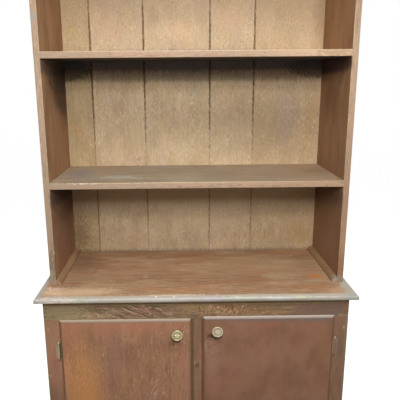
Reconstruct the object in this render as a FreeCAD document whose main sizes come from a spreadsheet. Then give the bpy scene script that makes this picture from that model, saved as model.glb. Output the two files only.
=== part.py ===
import FreeCAD, Part
import os
import Sketcher

# Step back cupboard: an open hutch standing on the worktop of a deeper lower case with two lipped doors.
# Millimetres. +X is to the right, +Y to the back and +Z up. The origin is on the floor, in the middle of
# the width of the worktop and of the depth from the knobs to the back.

DIMENSIONS = {
    # Lower case
    "base_width": 1016,
    "base_depth": 413,  # front of the face frame to the back of the back boards
    "worktop_height": 800,
    "worktop_board": 21,
    "worktop_front_overhang": 35,
    "worktop_end_overhang": 19,
    "base_side_board": 20,
    "bottom_board": 18,
    "inner_shelf_board": 18,
    "inner_shelf_height": 400,
    "inner_shelf_setback": 60,  # behind the face frame
    "shelf_cleat_width": 18,
    "shelf_cleat_height": 28,
    "worktop_cleat": 20,
    "rear_rail_height": 60,
    "rear_rail_board": 20,
    # Face frame
    "frame_board": 20,
    "top_rail_height": 76,
    "bottom_rail_height": 70,
    "toe_height": 50,
    "left_stile_width": 62,
    "right_stile_width": 58,
    "centre_stile_width": 60,
    "tenon_length": 20,
    "tenon_board": 7,
    "tenon_shoulder": 9,
    # Hutch
    "hutch_setback": 8,  # by which the hutch is narrower than the lower case at each end
    "hutch_offset": 5,  # the hutch stands this far to the right of the middle of the lower case
    "hutch_depth": 345,
    "hutch_height": 1120,
    "hutch_side_board": 20,
    "hutch_shelf_board": 21,
    "middle_shelf_rise": 354,  # worktop to the top of the middle shelf
    "upper_shelf_rise": 766,  # worktop to the top of the upper shelf
    "top_board": 21,
    "top_board_overhang": 22,
    "hutch_cleat_radius": 19,
    # Moulded edge of the worktop and the top board
    "nosing_width": 14,
    "nosing_drop": 9,
    "nosing_foot": 4,
    # Joints in the boards
    "housing_depth": 6,
    "housing_stop": 15,  # a housing ends this far behind the front edge of its side
    "joint_play": 0.2,
    "rabbet_width": 8,
    # Back boards
    "back_board": 12,
    "seam_gap": 4,
    "tongue_length": 10,
    "tongue_board": 4,
    "hutch_back_width_1": 108,
    "hutch_back_width_2": 196,
    "hutch_back_width_3": 245,
    "hutch_back_width_4": 165,
    "base_back_width_1": 230,
    "base_back_width_2": 262,
    "base_back_width_3": 214,
    # Cut nails in the back boards
    "nail_shank": 2.2,
    "nail_length": 30,
    "nail_head": 5,
    "nail_head_thickness": 1,
    "nail_inset": 28,
    # Doors
    "door_board": 20,
    "lip_board": 9,
    "lip_overlap": 9.5,
    "left_top_overlap": 3,  # the left door hangs lower, so less of its lip covers the top rail
    "lip_bevel": 7,
    "door_clearance": 2,
    # Knobs and their screws
    "knob_radius": 19,
    "knob_reach": 26,
    "knob_rim": 6,
    "knob_crown": 2,
    "knob_crown_inset": 4,
    "knob_flare": 5,
    "knob_stem_radius": 6,
    "knob_foot_radius": 9,
    "knob_foot": 2.5,
    "knob_inset": 46,  # free edge of the lip to the middle of the knob
    "left_knob_drop": 45.5,  # top of the lip to the middle of the knob
    "right_knob_drop": 41,
    "knob_screw_radius": 2,
    "knob_screw_grip": 10,
    "knob_screw_head_radius": 4.5,
    "knob_screw_head": 2.5,
    "screw_play": 0.1,
    # Hinges
    "hinge_height": 57,
    "hinge_inset": 85,  # end of the lip to the end of the barrel
    "knuckle_radius": 3.4,
    "knuckle_play": 0.3,
    "barrel_gap": 4,  # edge of the lip to the barrel
    "barrel_clearance": 0.45,
    "leaf_board": 1.2,
    "leaf_play": 0.1,
    "frame_leaf_reach": 12,
    "door_leaf_width": 22,
    "pin_radius": 1.7,
    "pin_play": 0.05,
    "ball_radius": 2.9,
    "ball_rise": 2.3,  # collar to the middle of the ball
    "collar_radius": 3,
    "collar_height": 2,
    "hinge_screw_radius": 1.4,
    "hinge_screw_head_radius": 2.6,
    "hinge_screw_length": 13,
    "hinge_screw_pitch": 36,
    # Screws up through the cleats into the worktop
    "worktop_screw_radius": 2,
    "worktop_screw_head_radius": 3.8,
    "worktop_screw_head": 2.5,
    "worktop_screw_bite": 13,
    "worktop_screw_inset": 60,
    # Magnetic catches
    "catch_width": 40,
    "catch_height": 12,
    "catch_depth": 17,
    "catch_inset": 50,  # free side of the door opening to the catch
    "strike_board": 1,
    "strike_width": 30,
    "strike_play": 0.3,
}

KNUCKLE_COUNT = 5
SAME_PLACE = 0.001  # millimetres within which two places count as one

doc = FreeCAD.newDocument("step_back_cupboard")
sheet = doc.addObject("Spreadsheet::Sheet", "Sizes")
for row, (alias, length) in enumerate(DIMENSIONS.items(), start=1):
    sheet.set(f"A{row}", str(length))
    sheet.setAlias(f"A{row}", alias)
doc.recompute()


class Size:
    """A length worked out from the sheet, held as a number and as the formula that gives it."""

    def __init__(self, number, formula):
        self.number = number
        self.formula = formula

    def __add__(self, other):
        other = as_size(other)
        return Size(self.number + other.number, f"({self.formula} + {other.formula})")

    def __sub__(self, other):
        other = as_size(other)
        return Size(self.number - other.number, f"({self.formula} - {other.formula})")

    def __mul__(self, other):
        other = as_size(other)
        return Size(self.number * other.number, f"({self.formula} * {other.formula})")

    def __truediv__(self, other):
        other = as_size(other)
        return Size(self.number / other.number, f"({self.formula} / {other.formula})")

    def __neg__(self):
        return Size(-self.number, f"(0 - {self.formula})")


class Cells:
    """Gives each cell of the sheet as a Size, by its alias."""

    def __getattr__(self, alias):
        return Size(float(sheet.get(alias)), f"Sizes.{alias}")


def as_size(value):
    """Turn a plain number into a Size, and leave a Size as it is."""
    if isinstance(value, Size):
        return value
    return Size(float(value), f"({value})")


cell = Cells()
zero = as_size(0)
nodes = {}


# ---------------------------------------------------------------- objects of the document

def bind(item, prop, size):
    """Tie one property of an object to the formula of a size."""
    item.setExpression(prop, as_size(size).formula)


def place(item, x, y, z):
    """Tie the position of an object to three sizes."""
    for axis, size in zip("xyz", (x, y, z)):
        bind(item, f"Placement.Base.{axis}", size)


def add(kind, name):
    """Add an object to the document under its own label."""
    item = doc.addObject(kind, name)
    item.Label = name
    return item


def node(item):
    """Mark an object as a finished piece, which is written under its label."""
    nodes[item.Label] = item
    return item


def box(name, x, y, z):
    """A board given by its low and high limits along X, Y and Z."""
    board = add("Part::Box", name)
    for prop, (low, high) in zip(("Length", "Width", "Height"), (x, y, z)):
        bind(board, prop, high - low)
    place(board, x[0], y[0], z[0])
    return board


TURNS = {
    "+y": FreeCAD.Rotation(FreeCAD.Vector(1, 0, 0), -90),
    "-y": FreeCAD.Rotation(FreeCAD.Vector(1, 0, 0), 90),
    "+z": FreeCAD.Rotation(),
}


def rod(name, radius, length, start, direction="+z"):
    """A cylinder that runs from its start point in one direction."""
    item = add("Part::Cylinder", name)
    item.Placement.Rotation = TURNS[direction]
    bind(item, "Radius", radius)
    bind(item, "Height", length)
    place(item, *start)
    return item


def taper(name, start_radius, end_radius, length, start, direction):
    """A cone cut square at both ends, from its start point in one direction."""
    item = add("Part::Cone", name)
    item.Placement.Rotation = TURNS[direction]
    bind(item, "Radius1", start_radius)
    bind(item, "Radius2", end_radius)
    bind(item, "Height", length)
    place(item, *start)
    return item


def group(name, items):
    """Several separate solids under one label."""
    item = add("Part::Compound", name)
    item.Links = items
    return item


def fuse(name, items):
    """Solids joined into one."""
    item = add("Part::MultiFuse", name)
    item.Shapes = items
    item.Refine = True
    return item


def cut(name, base, tools):
    """A solid less its tools, which lie apart from each other."""
    item = add("Part::Cut", name)
    item.Base = base
    item.Tool = tools[0] if len(tools) == 1 else group(f"{name}_tools", tools)
    item.Refine = True
    return item


def plane_of(body, role):
    """One of a body's own origin planes."""
    for feature in body.Origin.OriginFeatures:
        if feature.Role == role:
            return feature
    raise ValueError(role)


def outline(body, role, points, arcs=None):
    """Sketch a closed outline on a plane of the body.

    Each point is a pair of sizes. An entry of arcs makes the edge that starts at that point an arc:
    it holds the radius and the arc's middle, and says whether the arc runs anticlockwise.
    """
    arcs = arcs or {}
    sketch = body.newObject("Sketcher::SketchObject", f"{body.Name}_outline")
    sketch.AttachmentSupport = (plane_of(body, role), [""])
    sketch.MapMode = "FlatFace"
    spots = [FreeCAD.Vector(across.number, up.number, 0) for across, up in points]
    ends = []
    for index, start in enumerate(spots):
        stop = spots[(index + 1) % len(spots)]
        if index not in arcs:
            sketch.addGeometry(Part.LineSegment(start, stop))
            ends.append((1, 2))
            continue
        radius, middle_across, middle_up, anticlockwise = arcs[index]
        middle = FreeCAD.Vector(middle_across.number, middle_up.number, 0)
        circle = Part.Circle(middle, FreeCAD.Vector(0, 0, 1), radius.number)
        first, last = (start, stop) if anticlockwise else (stop, start)
        sketch.addGeometry(Part.ArcOfCircle(circle, circle.parameter(first), circle.parameter(last)))
        ends.append((1, 2) if anticlockwise else (2, 1))
    for index, (across, up) in enumerate(points):
        following = (index + 1) % len(points)
        meeting = Sketcher.Constraint("Coincident", index, ends[index][1], following, ends[following][0])
        sketch.addConstraint(meeting)
        for kind, size in (("DistanceX", across), ("DistanceY", up)):
            distance = Sketcher.Constraint(kind, -1, 1, index, ends[index][0], size.number)
            number = sketch.addConstraint(distance)
            bind(sketch, f"Constraints[{number}]", size)
        if index in arcs:
            radius = arcs[index][0]
            number = sketch.addConstraint(Sketcher.Constraint("Radius", index, radius.number))
            bind(sketch, f"Constraints[{number}]", radius)
    return sketch


def pad(body, sketch, length, backwards=False):
    """Raise a sketch into a solid along the normal of its plane, or against it."""
    feature = body.newObject("PartDesign::Pad", f"{body.Name}_pad")
    feature.Profile = sketch
    feature.Reversed = backwards
    bind(feature, "Length", length)
    return feature


def edges_where(shape, test):
    """Names of the edges of a shape whose both ends pass the test."""
    return [f"Edge{number}" for number, edge in enumerate(shape.Edges, start=1)
            if all(test(vertex.Point) for vertex in edge.Vertexes)]


# ---------------------------------------------------------------- places that pieces share

leaf_room = cell.leaf_board + cell.leaf_play
front = (leaf_room + cell.lip_board + cell.knob_reach - cell.base_depth) / 2
back = front + cell.base_depth
frame_back = front + cell.frame_board
boards_front = back - cell.back_board
half_base = cell.base_width / 2
worktop_top = cell.worktop_height
worktop_foot = worktop_top - cell.worktop_board
rail_foot = worktop_foot - cell.top_rail_height
bottom_rail_top = cell.toe_height + cell.bottom_rail_height
stile_widths = cell.left_stile_width + cell.right_stile_width + cell.centre_stile_width
opening_width = (cell.base_width - stile_widths) / 2
left_opening = (cell.left_stile_width - half_base, cell.left_stile_width - half_base + opening_width)
right_opening = (half_base - cell.right_stile_width - opening_width, half_base - cell.right_stile_width)
inner_base = half_base - cell.base_side_board
base_rabbet = inner_base + cell.rabbet_width

hutch_front = back - cell.hutch_depth
hutch_outer = half_base - cell.hutch_setback
hutch_inner = hutch_outer - cell.hutch_side_board
hutch_rabbet = hutch_inner + cell.rabbet_width
hutch_top = worktop_top + cell.hutch_height
hutch_side_top = hutch_top - cell.top_board

lip_back = front - leaf_room
door_front = lip_back - cell.lip_board
door_back = door_front + cell.door_board


def mirrored(side, middle, near, far):
    """Limits along X of something that lies near to far from a middle, on the left (-1) or right (+1)."""
    if side > 0:
        return (middle + near, middle + far)
    return (middle - far, middle - near)


def grown(limits, play):
    """Limits moved apart by a play at both ends."""
    return (limits[0] - play, limits[1] + play)


# ---------------------------------------------------------------- boards

def moulded_board(name, x, y, z):
    """A board with a rounded nosing on its front and both ends, mitred where they meet."""
    nose = z[1] - cell.nosing_drop
    foot = z[0] + cell.nosing_foot
    squares = cell.nosing_width * cell.nosing_width + cell.nosing_drop * cell.nosing_drop
    radius = squares / (cell.nosing_drop * 2)
    long_body = add("PartDesign::Body", f"{name}_front_shape")
    long_points = [
        (y[1], z[0]),
        (y[1], z[1]),
        (y[0] + cell.nosing_width, z[1]),
        (y[0], nose),
        (y[0], foot),
        (y[0] + cell.nosing_foot, z[0]),
    ]
    long_arcs = {2: (radius, y[0] + cell.nosing_width, z[1] - radius, True)}
    pad(long_body, outline(long_body, "YZ_Plane", long_points, long_arcs), x[1] - x[0])
    place(long_body, x[0], zero, zero)
    end_body = add("PartDesign::Body", f"{name}_end_shape")
    end_points = [
        (x[1] - cell.nosing_foot, z[0]),
        (x[1], foot),
        (x[1], nose),
        (x[1] - cell.nosing_width, z[1]),
        (x[0] + cell.nosing_width, z[1]),
        (x[0], nose),
        (x[0], foot),
        (x[0] + cell.nosing_foot, z[0]),
    ]
    end_arcs = {
        2: (radius, x[1] - cell.nosing_width, z[1] - radius, True),
        4: (radius, x[0] + cell.nosing_width, z[1] - radius, True),
    }
    pad(end_body, outline(end_body, "XZ_Plane", end_points, end_arcs), y[1] - y[0])
    place(end_body, zero, y[1], zero)
    board = add("Part::MultiCommon", name)
    board.Shapes = [long_body, end_body]
    return board


def nails(name, xs, zs):
    """Cut nails driven forward through the back boards, with their heads flush with the back."""
    half_head = cell.nail_head / 2
    half_shank = cell.nail_shank / 2
    pieces = []
    for level, z in enumerate(zs, start=1):
        for column, x in enumerate(xs, start=1):
            tag = f"{name}_{level}_{column}"
            head = box(f"{tag}_head", grown((x, x), half_head), (back - cell.nail_head_thickness, back),
                       grown((z, z), half_head))
            shank = box(f"{tag}_shank", grown((x, x), half_shank), (back - cell.nail_length, back),
                        grown((z, z), half_shank))
            pieces.append(fuse(tag, [head, shank]))
    return node(group(name, pieces))


def seams(left, right, widths):
    """Positions of the joints between back boards; the last board takes what is left of the width."""
    places = [left]
    for width in widths:
        places.append(places[-1] + width)
    return places + [right]


def nail_places(places):
    """Two nails across each back board, one near each edge."""
    across = []
    for left, right in zip(places, places[1:]):
        across += [left + cell.nail_inset, right - cell.nail_inset]
    return across


def back_boards(name, places, z, fixings):
    """Vertical boards with a tongue on the right edge and a groove in the left one."""
    middle = (boards_front + back) / 2
    half_tongue = cell.tongue_board / 2
    half_gap = cell.seam_gap / 2
    last = len(places) - 2
    for index, (left, right) in enumerate(zip(places, places[1:])):
        label = f"{name}_{index + 1}"
        low = left + half_gap if index > 0 else left
        high = right - half_gap if index < last else right
        board = box(f"{label}_face", (low, high), (boards_front, back), z)
        if index < last:
            tongue = box(f"{label}_tongue", (high, high + cell.tongue_length),
                         grown((middle, middle), half_tongue), z)
            board = fuse(f"{label}_tongued", [board, tongue])
        tools = [fixings]
        if index > 0:
            depth = cell.tongue_length - cell.seam_gap + cell.joint_play
            tools.append(box(f"{label}_groove", (low, low + depth),
                             grown((middle, middle), half_tongue + cell.joint_play), z))
        node(cut(label, board, tools))


# ---------------------------------------------------------------- hutch

middle_shelf_top = worktop_top + cell.middle_shelf_rise
middle_shelf = (middle_shelf_top - cell.hutch_shelf_board, middle_shelf_top)
upper_shelf_top = worktop_top + cell.upper_shelf_rise
upper_shelf = (upper_shelf_top - cell.hutch_shelf_board, upper_shelf_top)
housed = (hutch_front + cell.housing_stop, boards_front)


def make_hutch():
    """The two sides, two housed shelves, top board, back boards with their nails, and the foot cleats."""
    centre = cell.hutch_offset
    widths = [cell.hutch_back_width_1, cell.hutch_back_width_2,
              cell.hutch_back_width_3, cell.hutch_back_width_4]
    places = seams(centre - hutch_rabbet, centre + hutch_rabbet, widths)
    shelf_levels = [(low + high) / 2 for low, high in (middle_shelf, upper_shelf)]
    fixings = nails("hutch_back_nails", nail_places(places), shelf_levels)
    back_boards("hutch_back_board", places, (worktop_top, hutch_side_top), fixings)
    for name, z in (("hutch_shelf_middle", middle_shelf), ("hutch_shelf_upper", upper_shelf)):
        clear = box(f"{name}_clear", grown((centre, centre), hutch_inner), (hutch_front, boards_front), z)
        reach = hutch_inner + cell.housing_depth - cell.joint_play
        tongues = box(f"{name}_tongues", grown((centre, centre), reach),
                      (housed[0] + cell.joint_play, housed[1]), z)
        node(cut(name, fuse(f"{name}_board", [clear, tongues]), [fixings]))
    for side, name in ((-1, "hutch_side_left"), (1, "hutch_side_right")):
        board = box(f"{name}_board", mirrored(side, centre, hutch_inner, hutch_outer), (hutch_front, back),
                    (worktop_top, hutch_side_top))
        tools = [box(f"{name}_rabbet", mirrored(side, centre, hutch_inner, hutch_rabbet),
                     (boards_front, back), (worktop_top, hutch_side_top))]
        for level, (low, high) in enumerate((middle_shelf, upper_shelf), start=1):
            tools.append(box(f"{name}_housing_{level}",
                             mirrored(side, centre, hutch_inner, hutch_inner + cell.housing_depth),
                             housed, (low, high + cell.joint_play)))
        node(cut(name, board, tools))
    overhang = cell.top_board_overhang
    node(moulded_board("hutch_top_board", grown((centre, centre), hutch_outer + overhang),
                       (hutch_front - overhang, back), (hutch_side_top, hutch_top)))
    for side, name in ((-1, "hutch_cleat_left"), (1, "hutch_cleat_right")):
        node(quarter_round(name, side, centre))


def quarter_round(label, side, centre):
    """A quarter-round strip on the worktop, along the inside of one hutch side."""
    body = add("PartDesign::Body", label)
    wall = centre + hutch_inner * side
    tip = wall - cell.hutch_cleat_radius * side
    crown = worktop_top + cell.hutch_cleat_radius
    points = [(wall, worktop_top), (wall, crown), (tip, worktop_top)]
    arcs = {1: (cell.hutch_cleat_radius, wall, worktop_top, side > 0)}
    pad(body, outline(body, "XZ_Plane", points, arcs), boards_front - hutch_front)
    place(body, zero, boards_front, zero)
    return body


# ---------------------------------------------------------------- fasteners

class Screw:
    """The sizes of one kind of countersunk screw."""

    def __init__(self, radius, head_radius, head, length):
        self.radius = radius
        self.head_radius = head_radius
        self.head = head
        self.length = length

    def solid(self, name, start, direction, play=zero):
        """The screw from the face of its head, or its hole where a play is given."""
        axis = "xyz".index(direction[1])
        neck = list(start)
        neck[axis] = neck[axis] - self.head if direction[0] == "-" else neck[axis] + self.head
        cone = taper(f"{name}_head", self.head_radius + play, self.radius + play, self.head, start, direction)
        shank = rod(f"{name}_shank", self.radius + play, self.length - self.head + play, neck, direction)
        return fuse(name, [cone, shank])

    def drive(self, name, start, direction):
        """The screw and the hole that it fits."""
        hole = self.solid(f"{name}_hole", start, direction, cell.screw_play)
        return self.solid(name, start, direction), hole


hinge_screw = Screw(cell.hinge_screw_radius, cell.hinge_screw_head_radius, cell.leaf_board,
                    cell.hinge_screw_length)
worktop_screw = Screw(cell.worktop_screw_radius, cell.worktop_screw_head_radius, cell.worktop_screw_head,
                      cell.worktop_cleat + cell.worktop_screw_bite)


# ---------------------------------------------------------------- hinges

class Hinge:
    """A semi-concealed hinge for a lipped door.

    One leaf lies on the face of the stile. The other passes behind the lip and bends twice round the
    inner part of the door to its back. The pin has a collar and a ball at each end.
    """

    def __init__(self, name, side, opening_edge, low):
        self.name = name
        self.side = side
        self.low = low
        self.high = low + cell.hinge_height
        self.core_edge = opening_edge - cell.door_clearance * side
        self.pin_x = opening_edge + (cell.lip_overlap + cell.barrel_gap + cell.knuckle_radius) * side
        self.pin_y = front - cell.knuckle_radius - cell.knuckle_play
        self.step = cell.hinge_height / KNUCKLE_COUNT
        self.frame_screws = []
        self.door_screws = []
        self.frame_holes = []
        self.door_holes = []

    def knuckles(self, name, numbers):
        """The barrel's pieces that belong to one leaf."""
        half_play = cell.knuckle_play / 2
        return [rod(f"{name}_knuckle_{number}", cell.knuckle_radius, self.step - cell.knuckle_play,
                    (self.pin_x, self.pin_y, self.low + self.step * number + half_play))
                for number in numbers]

    def rooms(self, name, numbers):
        """The space that one leaf leaves round the other leaf's knuckles."""
        return [rod(f"{name}_room_{number}", cell.knuckle_radius + cell.barrel_clearance, self.step,
                    (self.pin_x, self.pin_y, self.low + self.step * number))
                for number in numbers]

    def leaf(self, name, plate, own, others, holes):
        """A plate with its knuckles, bored for the pin and countersunk for the screws."""
        cleared = cut(f"{name}_plate_cleared", plate, self.rooms(name, others))
        whole = fuse(f"{name}_whole", [cleared] + self.knuckles(name, own))
        bore = rod(f"{name}_bore", cell.pin_radius + cell.pin_play, cell.hinge_height,
                   (self.pin_x, self.pin_y, self.low))
        return node(cut(name, whole, [bore] + holes))

    def screw_heights(self):
        """Heights of the two screws of a leaf."""
        middle = (self.low + self.high) / 2
        return (middle - cell.hinge_screw_pitch / 2, middle + cell.hinge_screw_pitch / 2)

    def make(self):
        """Both leaves, their screws with the holes, and the pin."""
        frame_leaf = f"{self.name}_frame_leaf"
        door_leaf = f"{self.name}_door_leaf"
        side = self.side
        room = cell.knuckle_radius + cell.barrel_clearance
        frame_screw_x = self.pin_x + (room + cell.frame_leaf_reach) / 2 * side
        door_screw_x = self.core_edge - cell.door_leaf_width / 2 * side
        for number, z in enumerate(self.screw_heights(), start=1):
            start = (frame_screw_x, front - cell.leaf_board, z)
            piece, hole = hinge_screw.drive(f"{frame_leaf}_screw_{number}", start, "+y")
            self.frame_screws.append(piece)
            self.frame_holes.append(hole)
            start = (door_screw_x, door_back + cell.leaf_board, z)
            piece, hole = hinge_screw.drive(f"{door_leaf}_screw_{number}", start, "-y")
            self.door_screws.append(piece)
            self.door_holes.append(hole)
        frame_knuckles = range(0, KNUCKLE_COUNT, 2)
        door_knuckles = range(1, KNUCKLE_COUNT, 2)
        plate = box(f"{frame_leaf}_plate", mirrored(side, self.pin_x, zero, cell.frame_leaf_reach),
                    (front - cell.leaf_board, front), (self.low, self.high))
        self.leaf(frame_leaf, plate, frame_knuckles, door_knuckles, self.frame_holes)
        self.leaf(door_leaf, self.bent_plate(door_leaf), door_knuckles, frame_knuckles, self.door_holes)
        node(self.pin(f"{self.name}_pin"))

    def bent_plate(self, name):
        """The door leaf's section, raised to the height of the hinge."""
        body = add("PartDesign::Body", f"{name}_plate")
        outer = self.core_edge + cell.leaf_board * self.side
        inner = self.core_edge - cell.door_leaf_width * self.side
        points = [
            (self.pin_x, lip_back),
            (self.core_edge, lip_back),
            (self.core_edge, door_back),
            (inner, door_back),
            (inner, door_back + cell.leaf_board),
            (outer, door_back + cell.leaf_board),
            (outer, lip_back + cell.leaf_board),
            (self.pin_x, lip_back + cell.leaf_board),
        ]
        pad(body, outline(body, "XY_Plane", points), cell.hinge_height)
        place(body, zero, zero, self.low)
        return body

    def pin(self, name):
        """The pin with a collar and a ball beyond each end of the barrel."""
        parts = [rod(f"{name}_shaft", cell.pin_radius, cell.hinge_height, (self.pin_x, self.pin_y, self.low))]
        foot = self.low - cell.collar_height
        head = self.high + cell.collar_height
        ends = (("foot", foot, foot - cell.ball_rise), ("head", self.high, head + cell.ball_rise))
        for end, collar_low, ball_middle in ends:
            parts.append(rod(f"{name}_{end}_collar", cell.collar_radius, cell.collar_height,
                             (self.pin_x, self.pin_y, collar_low)))
            ball = add("Part::Sphere", f"{name}_{end}_ball")
            bind(ball, "Radius", cell.ball_radius)
            place(ball, self.pin_x, self.pin_y, ball_middle)
            parts.append(ball)
        return fuse(name, parts)


# ---------------------------------------------------------------- doors

class Door:
    """A lipped slab door with its knob, strike plate and two hinges."""

    def __init__(self, name, side, opening, top_overlap, knob_drop):
        self.name = name
        self.side = side
        self.opening = opening
        self.hinge_edge = opening[0] if side < 0 else opening[1]
        self.free_edge = opening[1] if side < 0 else opening[0]
        self.top = rail_foot + top_overlap
        self.foot = bottom_rail_top - cell.lip_overlap
        self.knob_x = self.free_edge - (cell.lip_overlap - cell.knob_inset) * side
        self.core_top = rail_foot - cell.door_clearance
        self.knob_z = self.top - knob_drop
        levels = {
            "upper": self.top - cell.hinge_inset - cell.hinge_height,
            "lower": self.foot + cell.hinge_inset,
        }
        self.hinges = [Hinge(f"{name}_{level}_hinge", side, self.hinge_edge, low)
                       for level, low in levels.items()]

    def rectangle(self, body, play, top):
        """The outline of the door opening, moved outwards by a play, up to a given height."""
        low, high = grown(self.opening, play)
        foot = bottom_rail_top - play
        return outline(body, "XZ_Plane", [(low, foot), (high, foot), (high, top), (low, top)])

    def slab(self):
        """The lip with its bevelled front edge, and the inner part that fits the opening."""
        body = add("PartDesign::Body", f"{self.name}_slab")
        lip = pad(body, self.rectangle(body, cell.lip_overlap, self.top), cell.lip_board)
        doc.recompute()
        face = -cell.lip_board.number
        bevel = body.newObject("PartDesign::Chamfer", f"{self.name}_bevel")
        bevel.Base = (lip, edges_where(lip.Shape, lambda point: abs(point.y - face) < SAME_PLACE))
        bind(bevel, "Size", cell.lip_bevel)
        core = self.rectangle(body, -cell.door_clearance, self.core_top)
        pad(body, core, cell.door_board - cell.lip_board, backwards=True)
        place(body, zero, lip_back, zero)
        return body

    def make(self):
        """The door with every piece that moves with it, and its hinges' frame leaves."""
        for hinge in self.hinges:
            hinge.make()
        screws = [screw for hinge in self.hinges for screw in hinge.door_screws]
        node(group(f"{self.name}_hinge_screws", screws))
        hole_radius = cell.knob_screw_radius + cell.screw_play
        knob_hole = rod(f"{self.name}_knob_hole", hole_radius, cell.door_board,
                        (self.knob_x, door_back, self.knob_z), "-y")
        holes = [hole for hinge in self.hinges for hole in hinge.door_holes]
        node(cut(self.name, self.slab(), [knob_hole] + holes))
        self.knob(f"{self.name}_knob", hole_radius)
        self.catch()

    def knob(self, name, hole_radius):
        """A turned knob and the screw that holds it from behind the door."""
        body = add("PartDesign::Body", name)
        neck = cell.knob_reach - cell.knob_rim - cell.knob_flare
        points = [
            (hole_radius, zero),
            (cell.knob_foot_radius, zero),
            (cell.knob_foot_radius, -cell.knob_foot),
            (cell.knob_stem_radius, -cell.knob_foot),
            (cell.knob_stem_radius, -neck),
            (cell.knob_radius, -(neck + cell.knob_flare)),
            (cell.knob_radius, cell.knob_crown - cell.knob_reach),
            (cell.knob_radius - cell.knob_crown_inset, -cell.knob_reach),
            (zero, -cell.knob_reach),
            (zero, -cell.knob_screw_grip),
            (hole_radius, -cell.knob_screw_grip),
        ]
        sketch = outline(body, "XY_Plane", points)
        turned = body.newObject("PartDesign::Revolution", f"{name}_turned")
        turned.Profile = sketch
        turned.ReferenceAxis = (sketch, ["V_Axis"])
        turned.Angle = 360
        place(body, self.knob_x, door_front, self.knob_z)
        node(body)
        length = cell.door_board + cell.knob_screw_grip - cell.screw_play
        seat = (self.knob_x, door_back, self.knob_z)
        shank = rod(f"{name}_screw_shank", cell.knob_screw_radius, length, seat, "-y")
        head = rod(f"{name}_screw_head", cell.knob_screw_head_radius, cell.knob_screw_head, seat, "+y")
        node(fuse(f"{name}_screw", [shank, head]))

    def catch(self):
        """A magnetic catch under the top rail and its strike plate on the back of the door."""
        case = mirrored(self.side, self.free_edge, cell.catch_inset, cell.catch_inset + cell.catch_width)
        edge = (cell.catch_width - cell.strike_width) / 2
        magnet_face = door_back + cell.strike_board + cell.strike_play
        node(box(f"{self.name}_catch", case, (magnet_face, magnet_face + cell.catch_depth),
                 (rail_foot - cell.catch_height, rail_foot)))
        node(box(f"{self.name}_strike", grown(case, -edge), (door_back, door_back + cell.strike_board),
                 (self.core_top - cell.catch_height, self.core_top)))


# ---------------------------------------------------------------- lower case

def tenon_and_mortise(name, x, y, z):
    """A tenon and the slightly larger mortise that takes it."""
    play = cell.joint_play
    return (box(f"{name}_tenon", x, y, z),
            box(f"{name}_mortise", grown(x, play), grown(y, play), grown(z, play)))


def make_frame(left_holes, right_holes):
    """The top rail over the stiles, the bottom rail between them, and the centre stile, all tenoned."""
    middle = (front + frame_back) / 2
    thickness = grown((middle, middle), cell.tenon_board / 2)
    board = (front, frame_back)
    length = cell.tenon_length
    left_stile = (-half_base, left_opening[0])
    right_stile = (right_opening[1], half_base)
    centre_stile = (left_opening[1], right_opening[0])
    top = (rail_foot, rail_foot + length)
    left_tenon, left_mortise = tenon_and_mortise(
        "left_stile_top", grown(left_stile, -cell.tenon_shoulder), thickness, top)
    right_tenon, right_mortise = tenon_and_mortise(
        "right_stile_top", grown(right_stile, -cell.tenon_shoulder), thickness, top)
    centre_tenon, centre_mortise = tenon_and_mortise(
        "centre_stile_top", grown(centre_stile, -cell.tenon_shoulder), thickness, top)
    foot_tenon, foot_mortise = tenon_and_mortise(
        "centre_stile_foot", grown(centre_stile, -cell.tenon_shoulder), thickness,
        (bottom_rail_top - length, bottom_rail_top))
    rail = (cell.toe_height, bottom_rail_top)
    rail_middle = grown(rail, -cell.tenon_shoulder)
    rail_left_tenon, rail_left_mortise = tenon_and_mortise(
        "bottom_rail_left", (left_opening[0] - length, left_opening[0]), thickness, rail_middle)
    rail_right_tenon, rail_right_mortise = tenon_and_mortise(
        "bottom_rail_right", (right_opening[1], right_opening[1] + length), thickness, rail_middle)
    top_rail = box("top_rail_board", (-half_base, half_base), board, (rail_foot, worktop_foot))
    node(cut("frame_top_rail", top_rail, [left_mortise, right_mortise, centre_mortise]))
    bottom_rail = box("bottom_rail_board", (left_opening[0], right_opening[1]), board, rail)
    tenoned = fuse("bottom_rail_tenoned", [bottom_rail, rail_left_tenon, rail_right_tenon])
    node(cut("frame_bottom_rail", tenoned, [foot_mortise]))
    left_board = box("left_stile_board", left_stile, board, (zero, rail_foot))
    node(cut("frame_left_stile", fuse("left_stile_tenoned", [left_board, left_tenon]),
             [rail_left_mortise] + left_holes))
    right_board = box("right_stile_board", right_stile, board, (zero, rail_foot))
    node(cut("frame_right_stile", fuse("right_stile_tenoned", [right_board, right_tenon]),
             [rail_right_mortise] + right_holes))
    centre_board = box("centre_stile_board", centre_stile, board, (bottom_rail_top, rail_foot))
    node(fuse("frame_centre_stile", [centre_board, centre_tenon, foot_tenon]))


def make_worktop():
    """The worktop with the two cleats below its ends and the screws that draw it down."""
    half_width = half_base + cell.worktop_end_overhang
    board = moulded_board("worktop_board", (-half_width, half_width),
                          (front - cell.worktop_front_overhang, back), (worktop_foot, worktop_top))
    cleat_foot = worktop_foot - cell.worktop_cleat
    run = (frame_back, boards_front - cell.rear_rail_board)
    screws = []
    holes = []
    for side, name in ((-1, "worktop_cleat_left"), (1, "worktop_cleat_right")):
        x = mirrored(side, zero, inner_base - cell.worktop_cleat, inner_base)
        own_holes = []
        for number, y in enumerate(grown(run, -cell.worktop_screw_inset), start=1):
            start = ((x[0] + x[1]) / 2, y, cleat_foot)
            piece, hole = worktop_screw.drive(f"{name}_screw_{number}", start, "+z")
            screws.append(piece)
            own_holes.append(hole)
        node(cut(name, box(f"{name}_board", x, run, (cleat_foot, worktop_foot)), own_holes))
        holes += own_holes
    node(group("worktop_screws", screws))
    node(cut("worktop", board, holes))


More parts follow.
